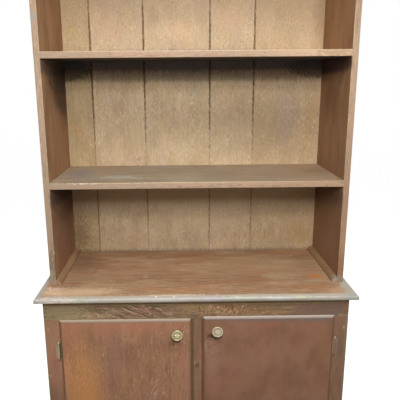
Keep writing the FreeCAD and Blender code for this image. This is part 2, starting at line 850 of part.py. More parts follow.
def make_base():
    """The sides, bottom, inner shelf on its cleats, rear rail and back boards."""
    bottom = (bottom_rail_top - cell.bottom_board, bottom_rail_top)
    rear_rail = (worktop_foot - cell.rear_rail_height, worktop_foot)
    widths = [cell.base_back_width_1, cell.base_back_width_2, cell.base_back_width_3]
    places = seams(-base_rabbet, base_rabbet, widths)
    levels = [(low + high) / 2 for low, high in (bottom, rear_rail)]
    fixings = nails("base_back_nails", nail_places(places), levels)
    back_boards("base_back_board", places, (cell.toe_height, worktop_foot), fixings)
    rail = box("rear_rail_board", (-inner_base, inner_base),
               (boards_front - cell.rear_rail_board, boards_front), rear_rail)
    node(cut("base_rear_rail", rail, [fixings]))
    housed_half = inner_base + cell.housing_depth
    inside = (frame_back, boards_front)
    clear = box("bottom_clear", (-inner_base, inner_base), inside, bottom)
    tongues = box("bottom_tongues", grown((-housed_half, housed_half), -cell.joint_play), inside, bottom)
    node(cut("base_bottom_board", fuse("bottom_housed", [clear, tongues]), [fixings]))
    shelf_run = (frame_back + cell.inner_shelf_setback, boards_front)
    shelf = (cell.inner_shelf_height - cell.inner_shelf_board, cell.inner_shelf_height)
    node(box("base_inner_shelf", grown((-inner_base, inner_base), -cell.joint_play), shelf_run, shelf))
    for side, name in ((-1, "left"), (1, "right")):
        board = box(f"base_side_{name}_board", mirrored(side, zero, inner_base, half_base),
                    (frame_back, back), (zero, worktop_foot))
        rabbet = box(f"base_side_{name}_rabbet", mirrored(side, zero, inner_base, base_rabbet),
                     (boards_front, back), (zero, worktop_foot))
        housing = box(f"base_side_{name}_housing", mirrored(side, zero, inner_base, housed_half),
                      inside, (bottom[0], bottom[1] + cell.joint_play))
        node(cut(f"base_side_{name}", board, [rabbet, housing]))
        node(box(f"shelf_cleat_{name}", mirrored(side, zero, inner_base - cell.shelf_cleat_width, inner_base),
                 shelf_run, (shelf[0] - cell.shelf_cleat_height, shelf[0])))


# ---------------------------------------------------------------- the whole cupboard

def make_cupboard():
    """Build every piece."""
    left = Door("left_door", -1, left_opening, cell.left_top_overlap, cell.left_knob_drop)
    right = Door("right_door", 1, right_opening, cell.lip_overlap, cell.right_knob_drop)
    for door in (left, right):
        door.make()
    left_holes = [hole for hinge in left.hinges for hole in hinge.frame_holes]
    right_holes = [hole for hinge in right.hinges for hole in hinge.frame_holes]
    frame_screws = [screw for door in (left, right) for hinge in door.hinges for screw in hinge.frame_screws]
    node(group("frame_hinge_screws", frame_screws))
    make_frame(left_holes, right_holes)
    make_base()
    make_worktop()
    make_hutch()


def write_nodes():
    """Check the document and every piece, then write each piece under its label."""
    doc.recompute()
    failed = [item.Label for item in doc.Objects if {"Invalid", "Error"} & set(item.State)]
    if failed:
        raise RuntimeError(f"objects failed: {failed}")
    for label, item in nodes.items():
        if item.Shape.isNull() or not item.Shape.isValid():
            raise RuntimeError(f"bad shape: {label}")
    os.makedirs("parts", exist_ok=True)
    for label, item in nodes.items():
        item.Shape.exportStep(f"parts/{label}.step")
        bounds = item.Shape.BoundBox
        print(f"{label}: {len(item.Shape.Solids)} solid(s), volume {item.Shape.Volume:.1f}, "
              f"x {bounds.XMin:.1f}..{bounds.XMax:.1f}, y {bounds.YMin:.1f}..{bounds.YMax:.1f}, "
              f"z {bounds.ZMin:.1f}..{bounds.ZMax:.1f}")


make_cupboard()
write_nodes()
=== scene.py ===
"""Looks of the step back cupboard: worn boards, brass furniture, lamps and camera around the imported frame."""

import logging
import math
import random
from dataclasses import dataclass
from enum import Enum
from typing import Any, Callable, Iterable

import bmesh
import bpy
from mathutils import Matrix, Vector


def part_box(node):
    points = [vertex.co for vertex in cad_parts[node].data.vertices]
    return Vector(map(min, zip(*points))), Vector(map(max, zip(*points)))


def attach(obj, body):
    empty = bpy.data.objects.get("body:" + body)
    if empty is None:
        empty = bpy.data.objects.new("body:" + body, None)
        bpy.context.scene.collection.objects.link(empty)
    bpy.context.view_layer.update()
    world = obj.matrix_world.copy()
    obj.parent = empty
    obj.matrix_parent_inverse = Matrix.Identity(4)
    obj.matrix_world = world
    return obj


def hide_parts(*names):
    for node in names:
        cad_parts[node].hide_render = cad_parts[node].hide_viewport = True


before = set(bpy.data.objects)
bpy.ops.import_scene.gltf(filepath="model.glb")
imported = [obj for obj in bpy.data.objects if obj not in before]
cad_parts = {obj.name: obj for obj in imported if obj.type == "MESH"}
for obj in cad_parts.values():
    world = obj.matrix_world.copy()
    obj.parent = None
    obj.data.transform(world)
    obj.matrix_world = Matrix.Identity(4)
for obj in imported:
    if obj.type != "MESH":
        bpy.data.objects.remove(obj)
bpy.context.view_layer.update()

LOG = logging.getLogger("step_back_cupboard")
MM = 0.001
Point = tuple[float, float, float]
Socket = bpy.types.NodeSocket


def linear(colour: str) -> tuple[float, float, float, float]:
    """Turn an sRGB hex colour into linear values.

    Args:
        colour: six hex digits after a hash.

    Returns:
        Red, green, blue and an alpha of one.
    """
    parts = [int(colour[place:place + 2], 16) / 255 for place in (1, 3, 5)]
    # The standard's own curve: a straight foot, then a power
    red, green, blue = (part / 12.92 if part <= 0.04045 else ((part + 0.055) / 1.055) ** 2.4
                        for part in parts)
    return red, green, blue, 1.0


class Axis(Enum):
    """The directions of the part: width, depth and height."""

    X = 0
    Y = 1
    Z = 2


# ---------------------------------------------------------------- shader nodes

class Kind(Enum):
    """Kinds of shader node: Blender's type, fields, the inputs filled in order, and the output read."""

    COORDS = ("TexCoord", {}, (), "Object")
    SPLIT = ("SeparateXYZ", {}, (0,), "X")
    MAPPING = ("Mapping", {}, ("Vector", "Location", "Rotation", "Scale"), 0)
    NOISE = ("TexNoise", {}, ("Vector", "Scale", "Detail", "Roughness", "Distortion"), 0)
    WAVE = ("TexWave", {"wave_type": "RINGS", "wave_profile": "SAW"},
            ("Vector", "Scale", "Distortion", "Detail", "Detail Scale"), "Fac")
    STEP = ("MapRange", {"interpolation_type": "SMOOTHSTEP"}, (0, 1, 2, 3, 4), 0)
    BLEND = ("Mix", {"data_type": "RGBA"}, (0, 6, 7), 2)
    MATH = ("Math", {}, (0, 1, 2), 0)
    VECTOR = ("VectorMath", {}, (0, 1, 2), 0)
    BUMP = ("Bump", {}, ("Strength", "Distance", "Height"), 0)
    PATH = ("LightPath", {}, (), "Is Camera Ray")
    BACKGROUND = ("Background", {}, (0, 1), 0)
    EITHER = ("MixShader", {}, (0, 1, 2), 0)


class Graph:
    """The nodes of one material or of the world."""

    def __init__(self, name: str, owner: Any = None) -> None:
        """Start an empty node tree with its shader.

        Args:
            name: the material's name.
            owner: the world, where the tree isn't a material's.
        """
        self.owner = owner or bpy.data.materials.new(name)
        self.owner.use_nodes = True
        self.tree = self.owner.node_tree
        self.shader = self.tree.nodes.get("Principled BSDF")

    def add(self, kind: Kind, *inputs: Any, out: Any = None, **fields: Any) -> Socket:
        """Add a node with its settings and links.

        Args:
            kind: the kind of node.
            inputs: sockets, numbers, tuples or hex colours, in the kind's order; None leaves one alone.
            out: the output to read, where it isn't the kind's usual one.
            fields: the node's own settings.

        Returns:
            The output socket.
        """
        name, usual, order, output = kind.value
        node = self.tree.nodes.new(f"ShaderNode{name}")
        for key, value in {**usual, **fields}.items():
            setattr(node, key, value)
        for key, value in zip(order, inputs):
            self.fill(node.inputs[key], value)
        return node.outputs[output if out is None else out]

    def fill(self, socket: Socket, value: Any) -> None:
        """Link a socket, or set its own value.

        Args:
            socket: the input to fill.
            value: a socket, number, tuple or hex colour; None leaves the input alone.
        """
        if value is None:
            return
        if isinstance(value, Socket):
            self.tree.links.new(value, socket)
        elif isinstance(value, str):
            socket.default_value = linear(value)
        else:
            socket.default_value = value

    def coat(self, piece: bpy.types.Object, **inputs: Any) -> None:
        """Fill the shader's inputs and make this the only material of a piece.

        Args:
            piece: what the material goes on.
            inputs: the shader's inputs, with underscores for the spaces in their names.
        """
        for key, value in inputs.items():
            self.fill(self.shader.inputs[key.replace("_", " ")], value)
        piece.data.materials.clear()
        piece.data.materials.append(self.owner)

    def times(self, first: Any, second: Any) -> Socket:
        """Multiply two values."""
        return self.add(Kind.MATH, first, second, operation="MULTIPLY")

    def lay(self, colour: Socket, mask: Socket, share: float, over: str) -> Socket:
        """Lay another colour over one, by a mask from 0 to 1 and its share."""
        return self.add(Kind.BLEND, self.times(mask, share), colour, over)

    def lay_marks(self, colour: Socket, marks: "Iterable[Mark]", here: Socket, rough: Socket) -> Socket:
        """Lay bands, patches and flecks over a colour, the later ones over the earlier ones.

        Args:
            colour: the colour under them.
            marks: the bands, patches and flecks.
            here: Object coordinates.
            rough: a noise from 0 to 1 that breaks their edges.

        Returns:
            The colour with the marks on it.
        """
        for mark in marks:
            colour = self.add(Kind.BLEND, mark.mask(self, here, rough), colour, mark.colour)
        return colour


# ---------------------------------------------------------------- marks on a surface

@dataclass(frozen=True)
class Band:
    """Another colour on one side of a plane, which fades between two places along an axis, in millimetres."""

    axis: Axis
    full: float
    gone: float
    colour: str
    strength: float = 1.0
    ragged: float = 0.0

    def mask(self, graph: Graph, here: Socket, rough: Socket) -> Socket:
        """Where the band shows.

        Args:
            graph: the material's nodes.
            here: Object coordinates.
            rough: a noise from 0 to 1 that breaks the edge.

        Returns:
            A mask from 0 to 1.
        """
        place = graph.add(Kind.SPLIT, here, out=self.axis.value)
        if self.ragged:
            shift = graph.add(Kind.MATH, rough, 0.5, operation="SUBTRACT")
            place = graph.add(Kind.MATH, shift, self.ragged * MM, place, operation="MULTIPLY_ADD")
        return graph.add(Kind.STEP, place, self.gone * MM, self.full * MM, 0.0, self.strength)


@dataclass(frozen=True)
class Patch:
    """A rounded place of another colour, such as a chip, a stain or a worn spot, in millimetres."""

    centre: Point
    radii: Point
    colour: str
    strength: float = 1.0
    ragged: float = 0.5
    soft: float = 0.4

    def mask(self, graph: Graph, here: Socket, rough: Socket) -> Socket:
        """Where the patch shows.

        Args:
            graph: the material's nodes.
            here: Object coordinates.
            rough: a noise from 0 to 1 that breaks the edge.

        Returns:
            A mask from 0 to 1.
        """
        shares = tuple(1 / (radius * MM) for radius in self.radii)
        offset = graph.add(Kind.VECTOR, here, tuple(Vector(self.centre) * MM), operation="SUBTRACT")
        scaled = graph.add(Kind.VECTOR, offset, shares, operation="MULTIPLY")
        reach = graph.add(Kind.VECTOR, scaled, operation="LENGTH", out="Value")
        shift = graph.add(Kind.MATH, rough, 0.5, operation="SUBTRACT")
        reach = graph.add(Kind.MATH, shift, self.ragged * 2, reach, operation="MULTIPLY_ADD")
        return graph.add(Kind.STEP, reach, 1.0, 1.0 - self.soft, 0.0, self.strength)


# Flecks are where a noise is above a level: the level that shows none, how far full cover lowers it, the
# width of the soft edge above it, and how the place that they fill fades out
FLECK_NONE = 0.72
FLECK_RANGE = 0.45
FLECK_EDGE = 0.07
FLECK_FADE = 0.6
# Keeps the noise of flecks off the origin, where it is even
FLECK_SHIFT = (0.37, 0.11, 0.53)


@dataclass(frozen=True)
class Flecks:
    """Short streaks or specks inside a rounded place, such as oak's rays or paint drops, in millimetres."""

    centre: Point
    radii: Point
    colour: str
    across: float
    along: float
    turn: Point = (0.0, 0.0, 0.0)
    cover: float = 0.35
    strength: float = 1.0

    def mask(self, graph: Graph, here: Socket, rough: Socket) -> Socket:
        """Where the flecks show.

        Args:
            graph: the material's nodes.
            here: Object coordinates.
            rough: a noise from 0 to 1 that breaks the edge of their place.

        Returns:
            A mask from 0 to 1.
        """
        place = Patch(self.centre, self.radii, self.colour, self.strength, FLECK_FADE, FLECK_FADE)
        turned = graph.add(Kind.MAPPING, here, FLECK_SHIFT, self.turn)
        scale = (1 / (self.along * MM), 1 / (self.across * MM), 1 / (self.across * MM))
        fine = graph.add(Kind.VECTOR, turned, scale, operation="MULTIPLY")
        noise = graph.add(Kind.NOISE, fine, 1.0, 1.5, 0.5)
        level = FLECK_NONE - self.cover * FLECK_RANGE
        spots = graph.add(Kind.STEP, noise, level, level + FLECK_EDGE, 0.0, 1.0)
        return graph.times(place.mask(graph, here, rough), spots)


Mark = Band | Patch | Flecks
# Turns that lay flecks along the width or upright
LEVEL = (0.0, 0.0, 0.0)
UPRIGHT = (0.0, math.pi / 2, 0.0)


@dataclass(frozen=True)
class Face:
    """A flat face that marks lie on, in millimetres: the axis that it faces, its place and their depth."""

    axis: Axis
    place: float
    depth: float

    def point(self, first: float, second: float, own: float) -> Point:
        """Put the face's own coordinate among the other two."""
        others = (first, second)
        return (*others[:self.axis.value], own, *others[self.axis.value:])

    def marks(self, *rows: tuple[Any, ...], depth: float | None = None) -> tuple[Mark, ...]:
        """Patches and flecks on this face.

        Args:
            rows: the two coordinates of its middle, its two radii and its colour for each, and then a
                patch's strength, raggedness and softness, or the flecks' width, length, turn, cover and
                strength. Only flecks have a turn.
            depth: how deep they go, where that isn't the face's usual depth.

        Returns:
            The marks in order.
        """
        marks = []
        for first, second, wide, tall, *look in rows:
            kind = Flecks if any(isinstance(item, tuple) for item in look) else Patch
            centre = self.point(first, second, self.place)
            marks.append(kind(centre, self.point(wide, tall, depth or self.depth), *look))
        return tuple(marks)


# The faces that are marked: the hutch's front edges, back boards and inner walls, the tops of its middle
# shelf and of the worktop, and the fronts of the face frame and of the doors
FRONT_EDGE = Face(Axis.Y, -120, 5)
BACK_FACE = Face(Axis.Y, 213, 5)
LEFT_WALL = Face(Axis.X, -475, 8)
RIGHT_WALL = Face(Axis.X, 485, 8)
SHELF_TOP = Face(Axis.Z, 1154, 6)
WORKTOP_TOP = Face(Axis.Z, 800, 8)
FRAME_FACE = Face(Axis.Y, -188, 5)
DOOR_FACE = Face(Axis.Y, -199, 8)


# ---------------------------------------------------------------- finishes

@dataclass(frozen=True)
class Streaks:
    """A noise drawn out along the grain: its size in millimetres, its detail, and what becomes 0 and 1."""

    across: float
    along: float
    detail: float = 3.0
    low: float = 0.32
    high: float = 0.68

    def draw(self, graph: Graph, moved: Socket, grain: Axis) -> Socket:
        """Add the noise to a material.

        Args:
            graph: the material's nodes.
            moved: Object coordinates, moved to the board's own stretch of grain.
            grain: the direction of the fibres.

        Returns:
            A value from 0 to 1.
        """
        scale = [1 / (self.across * MM)] * 3
        scale[grain.value] = 1 / (self.along * MM)
        drawn = graph.add(Kind.VECTOR, moved, tuple(scale), operation="MULTIPLY")
        noise = graph.add(Kind.NOISE, drawn, 1.0, self.detail, 0.6)
        return graph.add(Kind.STEP, noise, self.low, self.high, 0.0, 1.0)


# Breaks the edges of marks and of rubbed arrises
FRAY = Streaks(6, 14)
# Patches of tint, each layer wider and shorter than the last
TINT_LAYERS = tuple(Streaks(38 + 17 * order, 130 - 30 * order, 4.0, 0.42, 0.66) for order in range(3))
# Pores and rays are a few tenths of a millimetre wide in the wood, too fine to show, so they are drawn
# several times as wide; each pair has the lines and the places where they gather
PORES = (Streaks(2.4, 17, 1.0, 0.52, 0.66), Streaks(30, 70, 3.0, 0.35, 0.6))
SILK = (Streaks(3.4, 11, 2.0, 0.5, 0.66), Streaks(42, 60, 3.0, 0.42, 0.62))
# How deep the pores are beside the rest of the relief
PORE_DEPTH = 0.8
# Metres by which each board's stretch of grain is moved at most
GRAIN_SHIFT = 6
# Millimetres between Blender's rings at a scale of 1, and how much they are drawn out along the grain
RING_SPACING = 314
RING_STRETCH = 0.09
# How far the edge of a rubbed arris is broken, where it is gone and where it is full, in widths of the wear
WEAR_FRAY, WEAR_GONE, WEAR_FULL = 1.4, 1.6, 0.5


@dataclass(frozen=True)
class Wood:
    """Sawn and planed boards under an old stain, with the tones and grain sizes of one part of the cupboard.

    Lengths are in millimetres. Each layer of figure is a width across the grain, a length along it and its
    share in the tone. Rings are the growth rings, pores the short dark hollows, and silk the pale flecks.
    Figure under about 2 mm is finer in the wood, and is drawn this coarse so that it shows.
    """

    name: str
    deep: str
    pale: str
    worn: str
    tints: tuple[tuple[str, float], ...]
    figure: tuple[Point, ...] = ((1.8, 70, 0.3), (6, 60, 0.25), (50, 190, 0.45))
    rings: float = 9.0
    ring_share: float = 0.25
    gain: float = 1.2
    pores: float = 0.35
    silk: float = 0.2
    wear: float = 2.2
    wear_share: float = 0.8
    roughness: float = 0.66
    specular: float = 0.12
    relief: float = 0.4

    def dress(self, piece: bpy.types.Object, grain: Axis, seed: int, marks: Iterable[Mark] = ()) -> None:
        """Give a piece this wood, with its own stretch of grain.

        Args:
            piece: the board, whose bounding box gives the arrises.
            grain: the direction of the fibres.
            seed: chooses the stretch of grain.
            marks: bands, patches and flecks laid over the wood in order.
        """
        graph = Graph(f"{self.name}_{piece.name}")
        draw = random.Random(seed)
        here = graph.add(Kind.COORDS)
        moved = graph.add(Kind.VECTOR, here, tuple(draw.uniform(-GRAIN_SHIFT, GRAIN_SHIFT) for _ in range(3)))
        low = Vector(min(corner[axis] for corner in piece.bound_box) for axis in range(3))
        high = Vector(max(corner[axis] for corner in piece.bound_box) for axis in range(3))
        centre = (low + high) / 2
        rings = self.growth(graph, here, centre, grain, draw)
        tone = self.tone(graph, rings, moved, grain)
        colour = graph.add(Kind.BLEND, tone, self.deep, self.pale)
        for layer, (tint, share) in zip(TINT_LAYERS, self.tints):
            colour = graph.lay(colour, layer.draw(graph, moved, grain), share, tint)
        pores, silk = (graph.times(*(layer.draw(graph, moved, grain) for layer in pair))
                       for pair in (PORES, SILK))
        colour = graph.lay(colour, pores, self.pores, self.deep)
        colour = graph.lay(colour, silk, self.silk, self.worn)
        rough = FRAY.draw(graph, moved, grain)
        worn = self.arris_mask(graph, here, centre, (high - low) / 2, rough)
        colour = graph.lay(colour, worn, self.wear_share, self.worn)
        colour = graph.lay_marks(colour, marks, here, rough)
        # The pores are hollow, and the pale wood stands a little higher and is a little duller
        height = graph.add(Kind.MATH, pores, -PORE_DEPTH, tone, operation="MULTIPLY_ADD")
        bump = graph.add(Kind.BUMP, self.relief, self.relief * MM, height)
        gloss = graph.add(Kind.STEP, tone, 0.0, 1.0, self.roughness - 0.08, self.roughness + 0.1)
        graph.coat(piece, Base_Color=colour, Roughness=gloss, Normal=bump, Specular_IOR_Level=self.specular)

    def tone(self, graph: Graph, rings: Socket, moved: Socket, grain: Axis) -> Socket:
        """How pale the stained wood is, from its growth rings and its figure.

        Args:
            graph: the material's nodes.
            rings: the growth rings, from 0 to 1.
            moved: Object coordinates, moved to the board's own stretch of grain.
            grain: the direction of the fibres.

        Returns:
            A value from 0, deep, to 1, pale.
        """
        tone = graph.times(rings, self.ring_share)
        for across, along, share in self.figure:
            layer = Streaks(across, along).draw(graph, moved, grain)
            tone = graph.add(Kind.MATH, layer, share * (1 - self.ring_share), tone, operation="MULTIPLY_ADD")
        return graph.add(Kind.STEP, tone, 0.5 - 0.5 / self.gain, 0.5 + 0.5 / self.gain, 0.0, 1.0)

    def growth(self, graph: Graph, here: Socket, centre: Vector, grain: Axis, draw: random.Random) -> Socket:
        """The growth rings, cut lengthways by the board's face.

        Args:
            graph: the material's nodes.
            here: Object coordinates.
            centre: the middle of the board.
            grain: the direction of the fibres.
            draw: chooses where the heart of the tree was.

        Returns:
            A value from 0 to 1.
        """
        heart = Vector(draw.choice((-1, 1)) * draw.uniform(0.03, 0.07) for _ in range(3))
        tilt = tuple(draw.uniform(-0.05, 0.05) for _ in range(3))
        squeeze = [1.0, 1.0, 1.0]
        squeeze[grain.value] = RING_STRETCH
        rooted = graph.add(Kind.VECTOR, here, tuple(heart - centre))
        trunk = graph.add(Kind.MAPPING, rooted, None, tilt, tuple(squeeze))
        return graph.add(Kind.WAVE, trunk, RING_SPACING / self.rings, 7.0, 2.0, 0.45,
                         rings_direction=grain.name)

    def arris_mask(self, graph: Graph, here: Socket, centre: Vector, half: Vector, rough: Socket) -> Socket:
        """Where handling has rubbed the stain off the arrises.

        A point is near an arris where it is near two faces of the board's box at once.

        Args:
            graph: the material's nodes.
            here: Object coordinates.
            centre: the middle of the board's box.
            half: half the size of that box.
            rough: a noise from 0 to 1 that breaks the edge.

        Returns:
            A mask from 0 to 1.
        """
        wear = self.wear * MM
        offset = graph.add(Kind.VECTOR, here, tuple(centre), operation="SUBTRACT")
        offset = graph.add(Kind.VECTOR, offset, operation="ABSOLUTE")
        inside = graph.add(Kind.VECTOR, tuple(half), offset, operation="SUBTRACT")
        across, deep, up = (graph.add(Kind.SPLIT, inside, out=axis.value) for axis in Axis)
        near = graph.add(Kind.MATH, across, deep, operation="MINIMUM")
        far = graph.add(Kind.MATH, across, deep, operation="MAXIMUM")
        second = graph.add(Kind.MATH, far, up, operation="MINIMUM")
        second = graph.add(Kind.MATH, near, second, operation="MAXIMUM")
        second = graph.add(Kind.MATH, rough, wear * WEAR_FRAY, second, operation="MULTIPLY_ADD")
        return graph.add(Kind.STEP, second, wear * WEAR_GONE, wear * WEAR_FULL, 0.0, 1.0)


@dataclass(frozen=True)
class Metal:
    """A cast, rolled or drawn metal surface with tarnish in its hollows.

    Grit is the size of the tarnish's mottling, which is finer on real metal and is drawn this coarse so that
    it shows; pitting is the size of the pits and pit_depth their depth. All are in millimetres.
    """

    name: str
    bright: str
    dull: str
    grit: float = 2.5
    pitting: float = 0.5
    dull_share: float = 0.6
    roughness: float = 0.38
    metallic: float = 1.0
    relief: float = 0.25
    pit_depth: float = 0.08

    def dress(self, piece: bpy.types.Object, marks: Iterable[Mark] = ()) -> None:
        """Give a piece this metal.

        Args:
            piece: the fitting.
            marks: bands, patches and flecks laid over the metal in order.
        """
        graph = Graph(f"{self.name}_{piece.name}")
        here = graph.add(Kind.COORDS)
        mottle = graph.add(Kind.NOISE, here, 1 / (self.grit * MM), 4.0, 0.65)
        rough = graph.add(Kind.STEP, mottle, 0.35, 0.65, 0.0, 1.0)
        pits = graph.add(Kind.NOISE, here, 1 / (self.pitting * MM), 2.0, 0.5)
        colour = graph.add(Kind.BLEND, graph.times(rough, self.dull_share), self.bright, self.dull)
        colour = graph.lay_marks(colour, marks, here, rough)
        gloss = graph.add(Kind.STEP, rough, 0.0, 1.0, self.roughness - 0.06, self.roughness + 0.16)
        bump = graph.add(Kind.BUMP, self.relief, self.pit_depth * MM, pits)
        graph.coat(piece, Base_Color=colour, Metallic=self.metallic, Roughness=gloss, Normal=bump)


# Oak boards planed and wiped with a thin stain; the light catches a dull, slightly ridged brown
HUTCH_OAK = Wood("stained_planed_oak", "#91694a", "#b58f6c", "#a78f78",
                 (("#a5755f", 0.45), ("#a88a5e", 0.35)),
                 figure=((2.5, 120, 0.12), (9, 110, 0.18), (55, 170, 0.7)), rings=16, ring_share=0.1,
                 wear=1.6, silk=0.1, gain=0.9)
# The same oak lying flat, greyed by dust and rubbed by what stood on it
SHELF_OAK = Wood("dusty_planed_oak", "#917e67", "#bba88d", "#bfae98", (("#98908a", 0.5), ("#a3865f", 0.3)),
                 ring_share=0.15, silk=0.2, gain=1.0)
# Resawn pine boards with a thin wash, whose soft patches run from pink to khaki under fine upright flecks
BACK_PINE = Wood("washed_resawn_pine", "#a18768", "#d3bd9c", "#e6d3ae",
                 (("#c2a08a", 0.5), ("#bfa471", 0.45), ("#a9a088", 0.35)), rings=13, ring_share=0.1,
                 figure=((3.0, 24, 0.35), (8, 26, 0.25), (60, 160, 0.4)), gain=1.0, pores=0.6, silk=0.75,
                 wear=1.2, wear_share=0.2, roughness=0.75)
# Worktop boards rubbed through the stain, with long streaks along the width
WORKTOP_OAK = Wood("rubbed_stained_oak", "#966d4c", "#cca988", "#d8c3a6",
                   (("#b07650", 0.5), ("#a88c70", 0.4)),
                   figure=((2.2, 60, 0.3), (7, 70, 0.3), (45, 190, 0.4)), rings=12, ring_share=0.2, wear=2.0,
                   wear_share=0.3)
# The rail above the doors, olive brown, where slanting rays of quarter-sawn oak show
RAIL_OAK = Wood("quarter_sawn_stained_oak", "#6a553f", "#a18766", "#948a70", (("#8a6450", 0.4),), rings=8,
                figure=((1.8, 40, 0.35), (5, 34, 0.35), (50, 190, 0.3)), ring_share=0.2, wear=1.6,
                wear_share=0.5, gain=1.4)
# The uprights between the doors, a redder brown with little figure
STILE_OAK = Wood("stained_oak_uprights", "#785742", "#9a755c", "#8c8069",
                 (("#96634f", 0.4), ("#7f6a52", 0.3)),
                 figure=((2.5, 90, 0.15), (8, 80, 0.2), (45, 150, 0.65)), rings=12, ring_share=0.1, wear=2.4,
                 wear_share=0.3, gain=0.9, silk=0.2)
# Door boards: the left one wiped warm orange brown, the right one a quieter dark brown
LEFT_DOOR_OAK = Wood("warm_wiped_oak", "#86604a", "#b08464", "#c4a284",
                     (("#a86f58", 0.4), ("#94704c", 0.35)),
                     figure=((2.4, 60, 0.3), (6, 90, 0.25), (50, 170, 0.45)), rings=14, ring_share=0.15,
                     wear=1.0, wear_share=0.2, silk=0.35, gain=1.0)
RIGHT_DOOR_OAK = Wood("dark_wiped_oak", "#805a45", "#946d56", "#9a8573",
                      (("#966354", 0.35), ("#85684c", 0.3)),
                      figure=((3.0, 60, 0.08), (9, 60, 0.12), (70, 90, 0.8)), rings=18, ring_share=0.05,
                      wear=1.0, wear_share=0.2, gain=0.8, silk=0.0, pores=0.15, roughness=0.6)
# Boards that nobody sees, left as they came from the saw and darkened by age
INNER_PINE = Wood("aged_sawn_pine", "#8a6a49", "#b8946b", "#bda07c", (("#a07a58", 0.4),), rings=12,
                  ring_share=0.3, wear_share=0.4, roughness=0.8)
# Cast brass gone greenish, with dark tarnish in the hollows of the ornament
CAST_BRASS = Metal("tarnished_cast_brass", "#c6ba92", "#8e8458", grit=3.0, metallic=0.8, roughness=0.42)
# The same casting dulled to a speckled pinkish beige
SPECKLED_BRASS = Metal("speckled_cast_brass", "#dccdb2", "#7c6d52", grit=2.4, dull_share=0.8, metallic=0.4,
                       roughness=0.55)
# Rolled brass leaves with a green film
ROLLED_BRASS = Metal("filmed_rolled_brass", "#b3ab80", "#6f7550", grit=4.0, roughness=0.45, metallic=0.6)
# Hinge brass under brown paint; the pale side of its barrel is a painted highlight
PAINTED_BRASS = Metal("painted_rolled_brass", "#8f6c52", "#6b4a34", grit=5.0, roughness=0.65, metallic=0.0)
# Turned pins and balls under old paint, rubbed to a pinkish tan
RUBBED_PINS = Metal("rubbed_turned_brass", "#ccb4a0", "#a08874", grit=3.0, roughness=0.5, metallic=0.3)
# Drawn steel screws and cut nails, dulled and specked with rust
OLD_STEEL = Metal("dulled_drawn_steel", "#8b8781", "#6b4f3c", grit=1.5, dull_share=0.7, roughness=0.5)
# Moulded brown plastic of the catch cases
CATCH_PLASTIC = Metal("moulded_brown_plastic", "#4a3428", "#3d2b21", grit=1.0, roughness=0.45, metallic=0.0)


# ---------------------------------------------------------------- modelling

WELD = 0.01 * MM  # corners closer than this are one
FLAT = math.radians(1)  # faces within this angle lie in one plane
SHARP = math.radians(30)  # arrises sharper than this are rounded
SHORTEST = 11 * MM  # arrises under this length stay as they are
ROUNDING_FACES = 3  # across a rounded arris
DISC_CORNERS = 64  # round a turned piece


class Pick(Enum):
    """What an edit-mode selection is made of."""

    CORNERS = "VERT"
    EDGES = "EDGE"
    FACES = "FACE"


def clear_bench() -> None:
    """Leave edit mode and select nothing."""
    if bpy.context.object and bpy.context.object.mode != "OBJECT":
        bpy.ops.object.mode_set(mode="OBJECT")
    bpy.ops.object.select_all(action="DESELECT")


